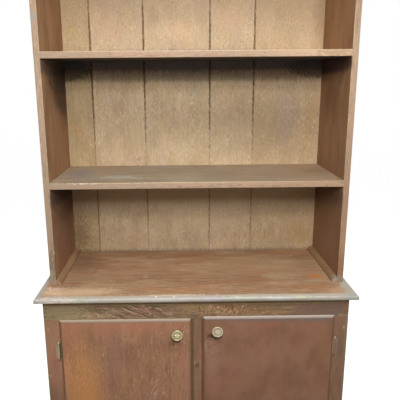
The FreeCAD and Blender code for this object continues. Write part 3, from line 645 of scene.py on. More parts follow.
class Bench:
    """One piece on the bench: it is started from a primitive and shaped with Blender's own tools."""

    def __init__(self, name: str) -> None:
        """Take the active object as the piece.

        Args:
            name: the piece's name.
        """
        self.piece = bpy.context.object
        self.piece.name = name
        self.piece.data.name = name

    @classmethod
    def box(cls, name: str, low: Point, high: Point) -> "Bench":
        """Start from a block between two corners.

        Args:
            name: the piece's name.
            low: its lowest corner.
            high: its highest corner.

        Returns:
            The bench with the block on it.
        """
        clear_bench()
        size = Vector(high) - Vector(low)
        bpy.ops.mesh.primitive_cube_add(size=1, location=(Vector(low) + Vector(high)) / 2, scale=size)
        bpy.ops.object.transform_apply(location=True, rotation=True, scale=True)
        return cls(name)

    @classmethod
    def disc(cls, name: str, centre: Point, radius: float, turn: Point) -> "Bench":
        """Start from a flat disc.

        Args:
            name: the piece's name.
            centre: its middle.
            radius: its radius.
            turn: its rotation; unturned, it faces up.

        Returns:
            The bench with the disc on it.
        """
        clear_bench()
        bpy.ops.mesh.primitive_circle_add(vertices=DISC_CORNERS, radius=radius, fill_type="NGON",
                                          location=centre, rotation=turn)
        bpy.ops.object.transform_apply(location=True, rotation=True, scale=True)
        return cls(name)

    @classmethod
    def from_node(cls, name: str, node: str) -> "Bench":
        """Start from a merged copy of a piece of the frame.

        Args:
            name: the new piece's name.
            node: the frame's piece.

        Returns:
            The bench with the copy on it.
        """
        clear_bench()
        piece = bpy.data.objects.new(name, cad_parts[node].data.copy())
        bpy.context.scene.collection.objects.link(piece)
        piece.select_set(True)
        bpy.context.view_layer.objects.active = piece
        bench = cls(name)
        bench.pick(Pick.FACES)
        bpy.ops.mesh.remove_doubles(threshold=WELD)
        bpy.ops.mesh.dissolve_limited(angle_limit=FLAT)
        bpy.ops.object.mode_set(mode="OBJECT")
        return bench

    def pick(self, what: Pick, test: Callable[[Vector], bool] = lambda _: True) -> None:
        """Select what has every corner pass a test, and nothing else, in edit mode.

        Args:
            what: corners, edges or faces.
            test: says whether a corner passes.
        """
        bpy.ops.object.mode_set(mode="EDIT")
        bpy.ops.mesh.select_mode(type=what.value)
        bpy.ops.mesh.select_all(action="DESELECT")
        mesh = bmesh.from_edit_mesh(self.piece.data)
        items = {Pick.CORNERS: mesh.verts, Pick.EDGES: mesh.edges, Pick.FACES: mesh.faces}[what]
        for item in items:
            if all(test(corner.co) for corner in ([item] if what is Pick.CORNERS else item.verts)):
                item.select_set(True)
        mesh.select_flush_mode()
        bmesh.update_edit_mesh(self.piece.data)

    def bevel(self, width: float, segments: int) -> None:
        """Bevel the selected edges by a width in millimetres."""
        bpy.ops.mesh.bevel(offset=width * MM, segments=segments, affect="EDGES", clamp_overlap=False)

    def soften(self, width: float) -> "Bench":
        """Round the sharp arrises that are long enough.

        Args:
            width: width of the rounding in millimetres.

        Returns:
            The same bench.
        """
        self.pick(Pick.EDGES, lambda _: False)
        mesh = bmesh.from_edit_mesh(self.piece.data)
        for edge in mesh.edges:
            sharp = len(edge.link_faces) == 2 and edge.calc_face_angle() > SHARP
            edge.select_set(sharp and edge.calc_length() > SHORTEST)
        mesh.select_flush_mode()
        bmesh.update_edit_mesh(self.piece.data)
        self.bevel(width, ROUNDING_FACES)
        return self

    def draw_out(self, step: Point, size: Point = (1, 1, 1), about: Point = (0, 0, 0)) -> None:
        """Extrude the selected faces, then resize the new end.

        Args:
            step: how far to move the new end.
            size: its scale along each axis.
            about: the point that the scale leaves in place.
        """
        bpy.ops.mesh.extrude_region_move(TRANSFORM_OT_translate={"value": step})
        if tuple(size) != (1, 1, 1):
            bpy.ops.transform.resize(value=size, center_override=about)

    def join(self, others: list["Bench"]) -> "Bench":
        """Make other pieces part of this one.

        Args:
            others: the benches that the other pieces are on.

        Returns:
            The same bench.
        """
        clear_bench()
        for other in [*others, self]:
            other.piece.select_set(True)
        bpy.context.view_layer.objects.active = self.piece
        bpy.ops.object.join()
        return self

    def done(self, angle: float = 35.0) -> bpy.types.Object:
        """Turn all faces outwards, shade them smooth and leave the piece as it is.

        Args:
            angle: edges sharper than this many degrees stay sharp.

        Returns:
            The finished piece.
        """
        self.pick(Pick.FACES)
        bpy.ops.mesh.normals_make_consistent(inside=False)
        clear_bench()
        self.piece.select_set(True)
        bpy.context.view_layer.objects.active = self.piece
        bpy.ops.object.shade_smooth_by_angle(angle=math.radians(angle))
        even = self.piece.modifiers.new("even_normals", "WEIGHTED_NORMAL")
        even.keep_sharp = True
        bpy.ops.object.modifier_apply(modifier=even.name)
        return self.piece


def settle(piece: bpy.types.Object, body: str, slot: str, *nodes: str) -> None:
    """Fix a finished piece to its body, in place of the frame's own pieces.

    Args:
        piece: the finished piece.
        body: the body that it rides on.
        slot: the name of a material slot; not used.
        nodes: the frame's pieces that it stands for.
    """
    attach(piece, body)
    if nodes:
        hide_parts(*nodes)
    LOG.info("%s rides on %s with %d faces", piece.name, body, len(piece.data.polygons))


@dataclass(frozen=True)
class Board:
    """One board of the carcass, with softened arrises."""

    node: str
    wood: Wood
    slot: str
    grain: Axis
    seed: int
    marks: tuple[Mark, ...] = ()
    arris: float = 1.3

    def build(self) -> None:
        """Make the board from its place in the frame, and dress it."""
        piece = Bench.from_node(f"{self.node}_board", self.node).soften(self.arris).done()
        self.wood.dress(piece, self.grain, self.seed, self.marks)
        settle(piece, "cabinet", self.slot, self.node)


def limits(node: str) -> tuple[Vector, Vector]:
    """Lowest and highest corner of one of the frame's pieces in millimetres, for marks."""
    low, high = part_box(node)
    return Vector(low) / MM, Vector(high) / MM


# ---------------------------------------------------------------- hutch

@dataclass
class Hutch:
    """The open upper case: sides, shelves, back boards, top board and cleats."""

    worn_edge: str = "#a78f78"
    outside: str = "#85604a"
    grime: str = "#4b3828"
    joint: str = "#5e4326"
    # Colour of the painted shade on the back boards under the upper shelf
    painted_shelf_shade: str = "#5b6070"
    washes: tuple[tuple[str, float], ...] = (
        ("#a48a60", 0.45), ("#c4a98c", 0.25), ("#cfb696", 0.25), ("#ccb090", 0.25), ("#b89a74", 0.35))

    def build(self) -> None:
        """Make every piece of the hutch."""
        self.make_sides()
        self.make_shelves()
        self.make_back()
        Board("hutch_top_board", HUTCH_OAK, "hutch_wood", Axis.X, 17).build()
        ends = {"left": FRONT_EDGE.marks((-466, 809, 14, 14, "#9a8068", 0.8)),
                "right": (Patch((476, -116, 809), (14, 16, 14), "#a3998a", 0.8),)}
        for side, seed in (("left", 31), ("right", 32)):
            marks = (Band(Axis.Z, 800, 799, "#8d7253", 0.4), *ends[side])
            Board(f"hutch_cleat_{side}", HUTCH_OAK, "hutch_wood", Axis.Y, seed, marks, 0.6).build()

    def make_sides(self) -> None:
        """The two upright sides, darker outside, with front edges worn pale, grimy feet, painted shade under
        the shelves and a painted highlight along the inner front arris.
        """
        marks = {
            "left": (
                # Painted shade on the inner wall under each shelf
                *self.shade(LEFT_WALL, 1566, ((460, 45, 0.62), (300, 75, 0.65)), "#2b2b31"),
                *self.shade(LEFT_WALL, 1566, ((270, 115, 0.6), (180, 135, 0.4)), "#3a2d25"),
                *self.shade(LEFT_WALL, 1154, ((460, 60, 0.75),), "#333a40"),
                *self.shade(LEFT_WALL, 1154, ((360, 100, 0.5), (220, 130, 0.3)), "#46372f"),
                # Painted shade low on the wall, under the middle shelf
                *LEFT_WALL.marks((80, 950, 300, 200, "#5c4034", 0.35, 0.2, 0.9)),
                Patch((-476, 60, 900), (10, 160, 80), "#9a7266", 0.4, 0.5, 0.8),
                *FRONT_EDGE.marks(
                    (-485, 1500, 14, 420, "#c8a48c", 3.0, 22.0, UPRIGHT, 0.45, 0.6),
                    (-485, 1300, 14, 420, "#8f8266", 3.0, 26.0, UPRIGHT, 0.35, 0.6),
                    (-487, 1668, 14, 16, "#9a9488", 0.7)),
                *FRONT_EDGE.marks((-485, 860, 40, 80, "#85705a", 0.8), depth=6),
                *FRONT_EDGE.marks((-490, 843, 9, 28, "#9c9a7c", 0.7)),
                *FRONT_EDGE.marks((-485, 806, 14, 14, "#a58a78", 0.7), depth=6),
                Patch((-474, -118, 916), (3, 6, 9), "#d9cbb6", 0.8),
                Flecks((-476, -100, 880), (6, 40, 90), "#b49a80", 2.0, 9.0, UPRIGHT, 0.4, 0.6),
            ),
            "right": (
                # Painted shade on the inner wall under each shelf
                *self.shade(RIGHT_WALL, 1566, ((470, 40, 0.85),), "#222329"),
                *self.shade(RIGHT_WALL, 1566, ((340, 55, 0.45),), "#4a2c24"),
                *self.shade(RIGHT_WALL, 1154, ((460, 66, 0.6), (420, 80, 0.3)), "#35323c"),
                *RIGHT_WALL.marks(
                    (150, 900, 260, 110, "#c09a80", 0.6, 0.3, 0.9),
                    (60, 1400, 200, 100, "#744f38", 0.3, 0.3, 0.9)),
                *FRONT_EDGE.marks(
                    (495, 970, 14, 190, "#c99c7c", 0.5, 0.4, 0.7),
                    (495, 1750, 14, 170, "#8c745e", 0.7, 0.3, 0.6)),
                Band(Axis.Z, 1000, 1500, "#8d6a50", 0.5),
                *FRONT_EDGE.marks(
                    (495, 1500, 14, 420, "#c49c78", 3.0, 24.0, UPRIGHT, 0.4, 0.6),
                    (495, 1200, 14, 420, "#86694e", 3.0, 22.0, UPRIGHT, 0.35, 0.5)),
                Flecks((484, 0, 950), (8, 60, 60), "#b09484", 2.0, 7.0, UPRIGHT, 0.2, 0.8),
                *FRONT_EDGE.marks((495, 850, 30, 60, "#8e6348", 0.6), depth=6),
                *FRONT_EDGE.marks((492, 810, 20, 14, "#8d8478", 0.7), depth=8),
            ),
        }
        for side, seed in (("left", 11), ("right", 12)):
            low, high = limits(f"hutch_side_{side}")
            outer, inner = (low.x, high.x) if side == "left" else (high.x, low.x)
            step = math.copysign(1.0, inner - outer)
            general = (
                Band(Axis.X, outer + 0.4 * step, outer + 1.6 * step, self.outside, 0.8, 0.6),
                Band(Axis.Y, low.y + 0.6, low.y + 1.8, self.worn_edge, 0.95, 1.0),
                # A painted highlight along the inner front arris
                Patch((inner, low.y, 1500), (2.6, 2.6, 900), "#c9ad92", 0.5, 0.4, 0.6),
            )
            Board(f"hutch_side_{side}", HUTCH_OAK, "hutch_wood", Axis.Z, seed, general + marks[side]).build()

    @staticmethod
    def shade(wall: Face, top: float, layers: tuple[Point, ...], colour: str) -> tuple[Patch, ...]:
        """Painted shade on a side wall under a shelf, widest at its top.

        Args:
            wall: the side's inner face.
            top: the height that it ends at, behind the shelf.
            layers: each layer's reach from the back, half height and strength.
            colour: its colour.

        Returns:
            One patch for each layer.
        """
        return wall.marks(*((BACK_FACE.place, top - deep, reach, deep, colour, share, 0.1, 0.4)
                            for reach, deep, share in layers))

    def make_shelves(self) -> None:
        """The two shelves, dusty on top and worn along the front, with a painted highlight on the front's top
        arris and painted shade along its bottom arris and underside.
        """
        marks = {
            "upper": (
                Band(Axis.X, 470, 130, "#d2b292", 0.6),
                *FRONT_EDGE.marks(
                    (-260, 1556, 260, 14, "#c79a86", 3.0, 34.0, LEVEL, 0.45, 0.35),
                    (100, 1556, 420, 14, "#d2a07c", 2.5, 40.0, LEVEL, 0.4, 0.35),
                    (0, 1550, 520, 8, "#8a654c", 2.5, 30.0, LEVEL, 0.45, 0.6),
                    (440, 1556, 70, 14, "#96785c", 0.5)),
            ),
            "middle": (
                Band(Axis.X, 480, -60, "#ac8c6e", 0.55),
                *SHELF_TOP.marks(
                    (-255, -22, 95, 30, "#b4b2a2", 0.7, 0.3, 0.8),
                    (-240, -26, 110, 40, "#dcd8c4", 5.0, 60.0, (0, 0, 0.25), 0.42, 0.8),
                    (-60, 0, 150, 60, "#b7a283", 0.4, 0.3, 0.9),
                    (-400, 60, 70, 120, "#8b7f80", 0.5, 0.3, 0.8)),
                *FRONT_EDGE.marks(
                    (0, 1144, 500, 14, "#c39a7c", 2.5, 30.0, LEVEL, 0.4, 0.6),
                    (100, 1138, 420, 8, "#7d5c46", 2.5, 24.0, LEVEL, 0.45, 0.6)),
                Flecks((-360, -119, 1153), (60, 4, 3), "#e8d9bf", 1.6, 12.0, LEVEL, 0.6, 0.9),
                Patch((478, -100, 1150), (12, 30, 12), "#86694f", 0.6),
                *SHELF_TOP.marks((430, 60, 60, 60, "#8d7256", 0.5)),
            ),
        }
        for name, seed in (("middle", 14), ("upper", 15)):
            low, high = limits(f"hutch_shelf_{name}")
            general = (
                Band(Axis.Y, low.y + 0.6, low.y + 2.0, self.worn_edge, 0.95, 1.0),
                # Along the front's top arris: a painted highlight, partly rubbed wear
                Patch((0, low.y, high.z), (900, 3.2, 3.0), "#d3b896", 0.8, 0.3, 0.6),
                # Along the front's bottom arris: painted shade
                Patch((0, low.y, low.z), (900, 3.0, 3.0), "#8a6a52", 0.35, 0.3, 0.6),
            )
            # Painted shade: the underside is painted near black
            under = Band(Axis.Z, low.z + 0.4, low.z + 1.4, "#2a221c", 0.95)
            Board(f"hutch_shelf_{name}", SHELF_OAK, "hutch_wood", Axis.X, seed,
                  general + marks[name] + (under,)).build()

    def make_back(self) -> None:
        """The five back boards, each of its own wash, with grime in the joints, and painted light and shade
        under the shelves and in the top corners.
        """
        spots = {
            1: (*BACK_FACE.marks(
                    (-446, 1658, 26, 40, "#bf9c62", 0.4, 0.4, 0.8),
                    (-438, 1290, 30, 70, "#ad8a58", 0.4, 0.4, 0.8),
                    (-460, 880, 70, 150, "#78603f", 0.75, 0.3, 0.9)),
                # Painted shade in the top left corner under the upper shelf
                *BACK_FACE.marks((-475, 1516, 110, 48, "#1f2228", 0.6, 0.12, 0.25), depth=8)),
            2: BACK_FACE.marks((-299, 1664, 70, 60, "#d0a98f", 0.4, 0.4, 0.8)),
            3: BACK_FACE.marks(
                (-62, 1655, 100, 50, "#ecc8a0", 0.4, 0.4, 0.9),
                (-140, 1695, 30, 50, "#a9967c", 0.5, 0.4, 0.9),
                (-48, 1213, 90, 60, "#d6c29d", 0.4, 0.4, 0.9)),
            4: BACK_FACE.marks((139, 1690, 60, 60, "#dcb596", 0.4, 0.4, 0.8)),
            5: (*BACK_FACE.marks(
                    (354, 1340, 70, 150, "#a99490", 0.45, 0.4, 0.9),
                    (445, 1286, 30, 120, "#ab8a58", 0.4, 0.4, 0.9),
                    # Painted shade at the top right end, beside the right side
                    (500, 1700, 80, 190, "#8f7456", 0.6, 0.1, 0.9),
                    (433, 870, 60, 70, "#b58f58", 0.5, 0.4, 0.9)),
                # Painted shade in the top right corner under the upper shelf
                *BACK_FACE.marks((485, 1520, 150, 44, "#1f2228", 0.6, 0.12, 0.3), depth=8),
                *BACK_FACE.marks((330, 1250, 200, 120, "#8a765e", 0.2, 0.3, 0.9))),
        }
        for number, (wash, share) in enumerate(self.washes, start=1):
            node = f"hutch_back_board_{number}"
            low, high = limits(node)
            right = high.x - (10 if number < len(self.washes) else 0)
            middle, seams = (low.x + right) / 2, (low.x - 2, right + 2)
            marks = (
                Band(Axis.Z, low.z, low.z - 9, wash, share),
                # Paler towards the top: partly the boards' tone, partly painted light
                Band(Axis.Z, 1640, 1540, "#dcc0a0", 0.25),
                *BACK_FACE.marks(
                    (middle, 1640, 140, 160, "#f3dfb2", 2.6, 7.0, UPRIGHT, 0.22, 0.55),
                    (middle, 1660, 140, 160, "#84684a", 2.4, 7.0, UPRIGHT, 0.22, 0.6),
                    (middle, 1480, 140, 60, "#6d5038", 3.0, 22.0, UPRIGHT, 0.3, 0.45)),
                *spots[number],
                # Painted shade under the upper shelf in two dark bands, and a painted highlight where its
                # shadow ends
                *BACK_FACE.marks(
                    (0, 1545, 900, 50, self.painted_shelf_shade, 0.7, 0.1, 0.5),
                    (0, 1489, 900, 24, "#3a302c", 0.35, 0.15, 0.7),
                    (0, 1462, 900, 12, "#e6c8a2", 0.2, 0.3, 0.7), depth=8),
                *BACK_FACE.marks((200, 1310, 420, 150, "#8a765e", 0.25, 0.3, 0.8)),
                # Painted light: a pale band that lifts the shadow under the middle shelf
                *BACK_FACE.marks((0, 1050, 900, 98, "#f2dfbc", 0.7, 0.1, 0.7), depth=8),
                *BACK_FACE.marks(
                    *((seam, 1530, 5.0, 420, self.joint, 0.85, 0.2, 0.6) for seam in seams),
                    *((seam, 960, 3.6, 200, self.grime, 0.5, 0.3, 0.6) for seam in seams), depth=9),
                # Darker along the foot of the boards, in the corner over the worktop
                Band(Axis.Z, 800, 818, self.grime, 0.5, 8),
            )
            Board(node, BACK_PINE, "back_wood", Axis.Z, 20 + number, marks, 0.8).build()


# ---------------------------------------------------------------- lower case

@dataclass
class Worktop:
    """The worktop with its rubbed, silvery nosing."""

    nosing: str = "#c6c1b8"
    slope: str = "#b3aa9b"
    # Colour of the painted shade along the foot of the nosing
    shaded_nosing_foot: str = "#958d80"
    rise: float = 12 * MM
    step_in: float = 14 * MM
    nosing_arrises: tuple[tuple[float, int], ...] = ((5, 5), (2.5, 4), (2.5, 3))
    # Stained and paint-spotted places of the nosing: x, how far behind its front, z, half length, half
    # height, colour and strength
    stains: tuple[tuple[float, float, float, float, float, str, float], ...] = (
        (-450, 4, 788, 130, 13, "#e6d8cb", 0.6), (-375, 0, 789, 26, 9, "#aebf98", 0.6),
        (-90, 0, 789, 150, 9, "#c3bcb6", 0.5), (50, 0, 788, 60, 8, "#bfb7cb", 0.55),
        (150, 0, 790, 70, 10, "#bccbb0", 0.55), (265, 0, 789, 60, 9, "#d3dbd8", 0.5),
        (340, 2, 792, 40, 7, "#cdd3a4", 0.5), (320, 0, 783, 30, 5, "#9b8fa0", 0.5),
        (500, 6, 790, 50, 9, "#9da4a4", 0.6))

    def build(self) -> None:
        """Make the worktop: a block drawn in to a narrower top, then rounded along three stages of nosing."""
        low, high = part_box("worktop")
        shoulder = low.z + self.rise
        bench = Bench.box("worktop_board", low, (high.x, high.y, shoulder))
        bench.pick(Pick.FACES, lambda corner: corner.z > shoulder - MM)
        width, depth = high.x - low.x, high.y - low.y
        middle = ((low.x + high.x) / 2, high.y, high.z)
        bench.draw_out((0, 0, high.z - shoulder),
                       ((width - 2 * self.step_in) / width, (depth - self.step_in) / depth, 1), middle)
        tests = (lambda corner: corner.y < high.y - MM and corner.z > high.z - MM,
                 lambda corner: corner.y < high.y + MM and abs(corner.z - shoulder) < 0.1 * MM,
                 lambda corner: corner.z < low.z + 0.1 * MM)
        for test, (rounding, segments) in zip(tests, self.nosing_arrises):
            bench.pick(Pick.EDGES, test)
            bench.bevel(rounding, segments)
        WORKTOP_OAK.dress(bench.done(), Axis.X, 41, self.marks())
        settle(bench.piece, "cabinet", "worktop_wood", "worktop")

    def marks(self) -> tuple[Mark, ...]:
        """Rubbed and stained places of the top, paint specks, and the silvery nosing with painted shade along
        its foot.

        Returns:
            The marks in order.
        """
        low, high = limits("worktop")
        front = low.y
        return (
            *WORKTOP_TOP.marks(
                (-430, 80, 150, 170, "#70593f", 0.6, 0.2, 0.9),
                (420, 60, 70, 110, "#8a7052", 0.45, 0.2, 0.9),
                (-235, 10, 110, 40, "#a87e68", 0.35, 0.2, 0.9),
                (230, 70, 240, 110, "#b3946e", 0.5, 0.3, 0.9),
                (-375, -178, 190, 50, "#e4c09b", 0.9, 0.12, 0.8),
                (-90, -168, 180, 24, "#c08a5e", 0.5, 0.3, 0.9),
                (400, -160, 80, 34, "#bd8454", 0.5, 0.3, 0.9), (300, -60, 90, 50, "#cbb08c", 0.4, 0.3, 0.9),
                (422, -66, 38, 24, "#c87e4a", 0.8, 0.2, 0.6),
                (-10, -110, 200, 30, "#85533a", 4.0, 70.0, LEVEL, 0.4, 0.6),
                (40, 0, 460, 190, "#8a5f45", 4.0, 60.0, LEVEL, 0.25, 0.45),
                (80, -20, 440, 180, "#d0a884", 4.0, 42.0, LEVEL, 0.25, 0.45),
                (60, -170, 420, 40, "#d9b68e", 3.5, 50.0, LEVEL, 0.35, 0.6),
                (-462, -150, 34, 22, "#e2c4ac", 0.5, 0.3, 0.8),
                (-460, -156, 46, 36, "#efdcc4", 3.4, 9.0, LEVEL, 0.42, 0.8),
                (-440, -168, 46, 30, "#8d6d4c", 3.4, 9.0, LEVEL, 0.3, 0.7),
                (-176, -58, 12, 34, "#f3e8d3", 2.5, 5.0, LEVEL, 0.35, 0.9),
                (-290, -89, 14, 10, "#e4d6bc", 3.0, 6.0, LEVEL, 0.35, 0.8)),
            Band(Axis.Y, front + 10, front + 15, self.slope, 0.9, 2.0),
            Patch((-60, front + 14, 800), (140, 4, 5), "#dfc9a8", 0.7, 0.3, 0.6),
            Band(Axis.X, low.x + 17, low.x + 24, "#a3a19e", 0.85, 4.0),
            Band(Axis.X, high.x - 32, high.x - 46, "#aaa699", 0.85, 12.0),
            Patch((0, front, 792), (900, 7, 5), self.nosing, 0.95, 0.2, 0.7),
            # Painted shade along the foot of the nosing, where it curves under
            Band(Axis.Z, low.z + 3, low.z + 7, self.shaded_nosing_foot, 0.75, 1.5),
            *(Patch((across, front + inward, up), (length, 12, tall), colour, share, 0.3, 0.8)
              for across, inward, up, length, tall, colour, share in self.stains),
            # More painted shade along the nosing's foot, in the middle and at the right
            Patch((160, front, low.z + 4), (330, 12, 7), "#5f564a", 0.45, 0.2, 0.7),
            Flecks((93, front + 3, 795), (26, 8, 7), "#6f6a55", 3.0, 7.0, cover=0.35, strength=0.8),
            Flecks((110, front + 3, 797), (30, 8, 7), "#e2c6b4", 3.0, 6.0, cover=0.35, strength=0.8),
            *(Patch((speck, front + 8, 797), (4, 3, 3), "#f7ead2", 0.9, 0.3, 0.6) for speck in (-131, -73)),
            Flecks((0, front, 790), (520, 12, 12), "#a09c90", 3.0, 40.0, cover=0.3, strength=0.4),
        )


@dataclass
class LowerCase:
    """The carcass under the worktop and its face frame."""

    olive: str = "#8d8468"

    def build(self) -> None:
        """Make every board of the lower case."""
        self.make_rails()
        self.make_stiles()
        for node, seed in (("base_side_left", 56), ("base_side_right", 57)):
            Board(node, STILE_OAK, "case_wood", Axis.Z, seed).build()
        for node, grain, seed in (
                ("base_bottom_board", Axis.X, 61), ("base_inner_shelf", Axis.X, 62),
                ("base_rear_rail", Axis.X, 63), ("shelf_cleat_left", Axis.Y, 64),
                ("shelf_cleat_right", Axis.Y, 65), ("worktop_cleat_left", Axis.Y, 66),
                ("worktop_cleat_right", Axis.Y, 67)):
            Board(node, INNER_PINE, "case_wood", grain, seed).build()
        for number in range(1, 5):
            Board(f"base_back_board_{number}", INNER_PINE, "back_wood", Axis.Z, 70 + number, (), 0.8).build()
        for node in ("base_back_nails", "hutch_back_nails", "worktop_screws", "frame_hinge_screws"):
            OLD_STEEL.dress(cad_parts[node])

    def make_rails(self) -> None:
        """The rails over and under the doors, the upper one with slanting rays and painted light along its top.
        """
        marks = (
            *FRAME_FACE.marks(
                (-440, 735, 90, 44, "#a3926e", 0.7), (-330, 718, 60, 12, "#a58a66", 0.6),
                (-153, 752, 60, 12, "#5f5142", 0.6), (-170, 737, 20, 11, "#b0827a", 0.7),
                (-94, 725, 26, 9, "#b08a7c", 0.6), (-10, 745, 60, 20, "#a98a60", 0.6),
                (150, 736, 170, 36, "#9c744e", 0.5, 0.4, 0.9), (420, 735, 110, 45, "#7c6156", 0.8)),
            *FRAME_FACE.marks((499, 752, 9, 7, "#a8553a", 0.8), depth=6),
            *FRAME_FACE.marks(
                (-340, 720, 50, 12, "#c2a688", 2.0, 14.0, LEVEL, 0.5, 0.8),
                (-215, 735, 110, 30, "#a27468", 9.0, 50.0, (0, -0.4, 0), 0.45, 0.8),
                (-215, 735, 110, 30, "#c4a88c", 6.0, 60.0, (0, -0.4, 0), 0.42, 0.85),
                (-215, 735, 120, 34, "#4f3d2c", 5.0, 50.0, (0, -0.45, 0), 0.4, 0.7),
                (95, 740, 110, 32, "#946c4a", 8.0, 22.0, (0, 0.4, 0), 0.42, 0.7),
                (95, 740, 110, 32, "#c49c76", 5.0, 13.0, (0, 0.9, 0), 0.42, 0.85),
                (95, 740, 120, 34, "#533923", 5.0, 15.0, (0, 1.3, 0), 0.38, 0.7),
                (260, 730, 90, 22, "#c4a077", 3.0, 34.0, (0, 0.1, 0), 0.35, 0.7),
                (260, 745, 110, 24, "#5c4a38", 3.0, 34.0, (0, 0.1, 0), 0.35, 0.5)),
            # Painted light: a pale strip along the rail's top that lifts the nosing's shadow
            Band(Axis.Z, 757, 752, "#b99a72", 0.95, 1.0),
        )
        Board("frame_top_rail", RAIL_OAK, "frame_wood", Axis.X, 51, marks).build()
        Board("frame_bottom_rail", RAIL_OAK, "frame_wood", Axis.X, 52).build()

    def make_stiles(self) -> None:
        """The uprights, with dirt and painted shade beside the doors' lips, and rubbed outer arrises."""
        left, _ = limits("frame_left_stile")
        _, right = limits("frame_right_stile")
        lips = {side: limits(f"{side}_door") for side in ("left", "right")}
        ding, face = "#a98f78", FRAME_FACE
        marks = {
            "left": (
                *face.marks((-477, 590, 90, 190, "#ab7f64", 0.75, 0.1, 0.6)),
                Band(Axis.X, left.x + 2, left.x + 5, self.olive, 0.5, 4.0),
                # Dirt and painted shade beside the door's lip
                Band(Axis.X, lips["left"][0].x - 1, lips["left"][0].x - 6, "#7a5235", 0.5, 2.0),
                *face.marks(
                    (-496, 669, 5, 9, ding, 0.8), (-486, 598, 4, 4, ding, 0.6),
                    (-498, 496, 4, 5, ding, 0.8), (-478, 540, 12, 60, "#9c6452", 0.5)),
            ),
            "right": (
                Band(Axis.X, right.x - 3, right.x - 12, "#7f765e", 0.7, 6.0),
                # Dirt and painted shade beside the door's lip
                Band(Axis.X, lips["right"][1].x + 1, lips["right"][1].x + 5, "#5c4433", 0.4, 2.0),
                *face.marks((494, 666, 4, 6, ding, 0.8), (482, 600, 10, 60, "#6d6450", 0.6)),
            ),
            "centre": (
                # Dirt and painted shade beside the doors' lips
                Band(Axis.X, lips["left"][1].x + 6, lips["left"][1].x + 14, "#51442c", 0.7, 3.0),
                Band(Axis.X, lips["right"][0].x - 3, lips["right"][0].x - 7, "#5a3a26", 0.75, 2.0),
                *face.marks((2, 530, 8, 14, "#5b4334", 0.6), (-5, 540, 4, 8, ding, 0.5)),
            ),
        }
        for side, seed in (("left", 53), ("right", 54), ("centre", 55)):
            Board(f"frame_{side}_stile", STILE_OAK, "frame_wood", Axis.Z, seed, marks[side]).build()


# ---------------------------------------------------------------- doors

# Wiped patches, rubbed places and scratches of the left door
LEFT_DOOR_MARKS = DOOR_FACE.marks(
                      (-235, 690, 300, 50, "#b4785e", 0.5, 0.15, 0.9),
                      (-420, 640, 60, 120, "#b87c60", 0.5, 0.2, 0.9),
                      (-385, 440, 90, 230, "#c58a56", 0.8, 0.12, 0.8),
                      (-440, 520, 26, 90, "#c78d66", 0.7, 0.2, 0.8),
                      (-276, 560, 50, 150, "#8d675a", 0.5, 0.15, 0.9),
                      (-150, 600, 120, 50, "#866249", 0.5, 0.2, 0.9),
                      (-130, 450, 100, 60, "#a5745e", 0.5, 0.2, 0.9),
                      (-36, 520, 22, 110, "#ab7864", 0.6, 0.2, 0.8),
                      (-84, 618, 18, 16, "#674834", 0.6, 0.3, 0.8),
                      (-120, 520, 130, 170, "#bb9878", 2.8, 34.0, UPRIGHT, 0.3, 0.5),
                      (-120, 520, 130, 170, "#6c4c36", 2.8, 26.0, UPRIGHT, 0.25, 0.5),
                      (-300, 600, 150, 100, "#644832", 2.8, 14.0, UPRIGHT, 0.22, 0.5),
                      (-42, 640, 8, 40, "#c9ac92", 2.4, 16.0, UPRIGHT, 0.4, 0.7),
                      (-140, 440, 40, 40, "#c6a488", 3.0, 26.0, (0, 1.1, 0), 0.35, 0.6),
                      (-380, 480, 90, 160, "#d09a66", 3.0, 12.0, UPRIGHT, 0.3, 0.5),
                      (-380, 480, 90, 160, "#8a5c38", 3.0, 14.0, UPRIGHT, 0.25, 0.5))

# The greyed top, the knot and its curved figure on the right door
RIGHT_DOOR_MARKS = DOOR_FACE.marks(
                       (250, 707, 260, 24, "#776560", 0.8, 0.15, 0.9),
                       (400, 702, 60, 16, "#6a666a", 0.6, 0.2, 0.9),
                       (245, 685, 60, 14, "#99634e", 0.5, 0.2, 0.8),
                       (345, 630, 60, 50, "#7d4f3c", 0.4, 0.2, 0.9),
                       (430, 600, 40, 120, "#8f664a", 0.4, 0.2, 0.9),
                       (52, 560, 34, 140, "#9c7664", 0.6, 0.15, 0.9),
                       (66, 460, 44, 80, "#9e6e60", 0.5, 0.15, 0.9),
                       (45, 646, 17, 10, "#533a2e", 0.95, 0.3, 0.7),
                       (56, 654, 12, 5, "#6a4a3c", 0.7, 0.3, 0.7),
                       (30, 610, 9, 40, "#a88672", 0.5, 0.2, 0.8),
                       (44, 628, 26, 40, "#553b30", 3.4, 20.0, (0, 0.7, 0), 0.38, 0.9),
                       (48, 610, 26, 40, "#ab8b76", 3.0, 24.0, (0, -0.8, 0), 0.35, 0.6),
                       (62, 580, 30, 16, "#6f4a38", 3.0, 14.0, LEVEL, 0.3, 0.6))


@dataclass(frozen=True)
class KnobFinish:
    """A knob's metal, the colours of its hollow ring and of its rosette, and how strong its speckles are."""

    metal: Metal
    hollow: str
    star: str
    speckle: float
    dark_specks: str = "#54483a"
    pale_specks: str = "#f2e6cf"


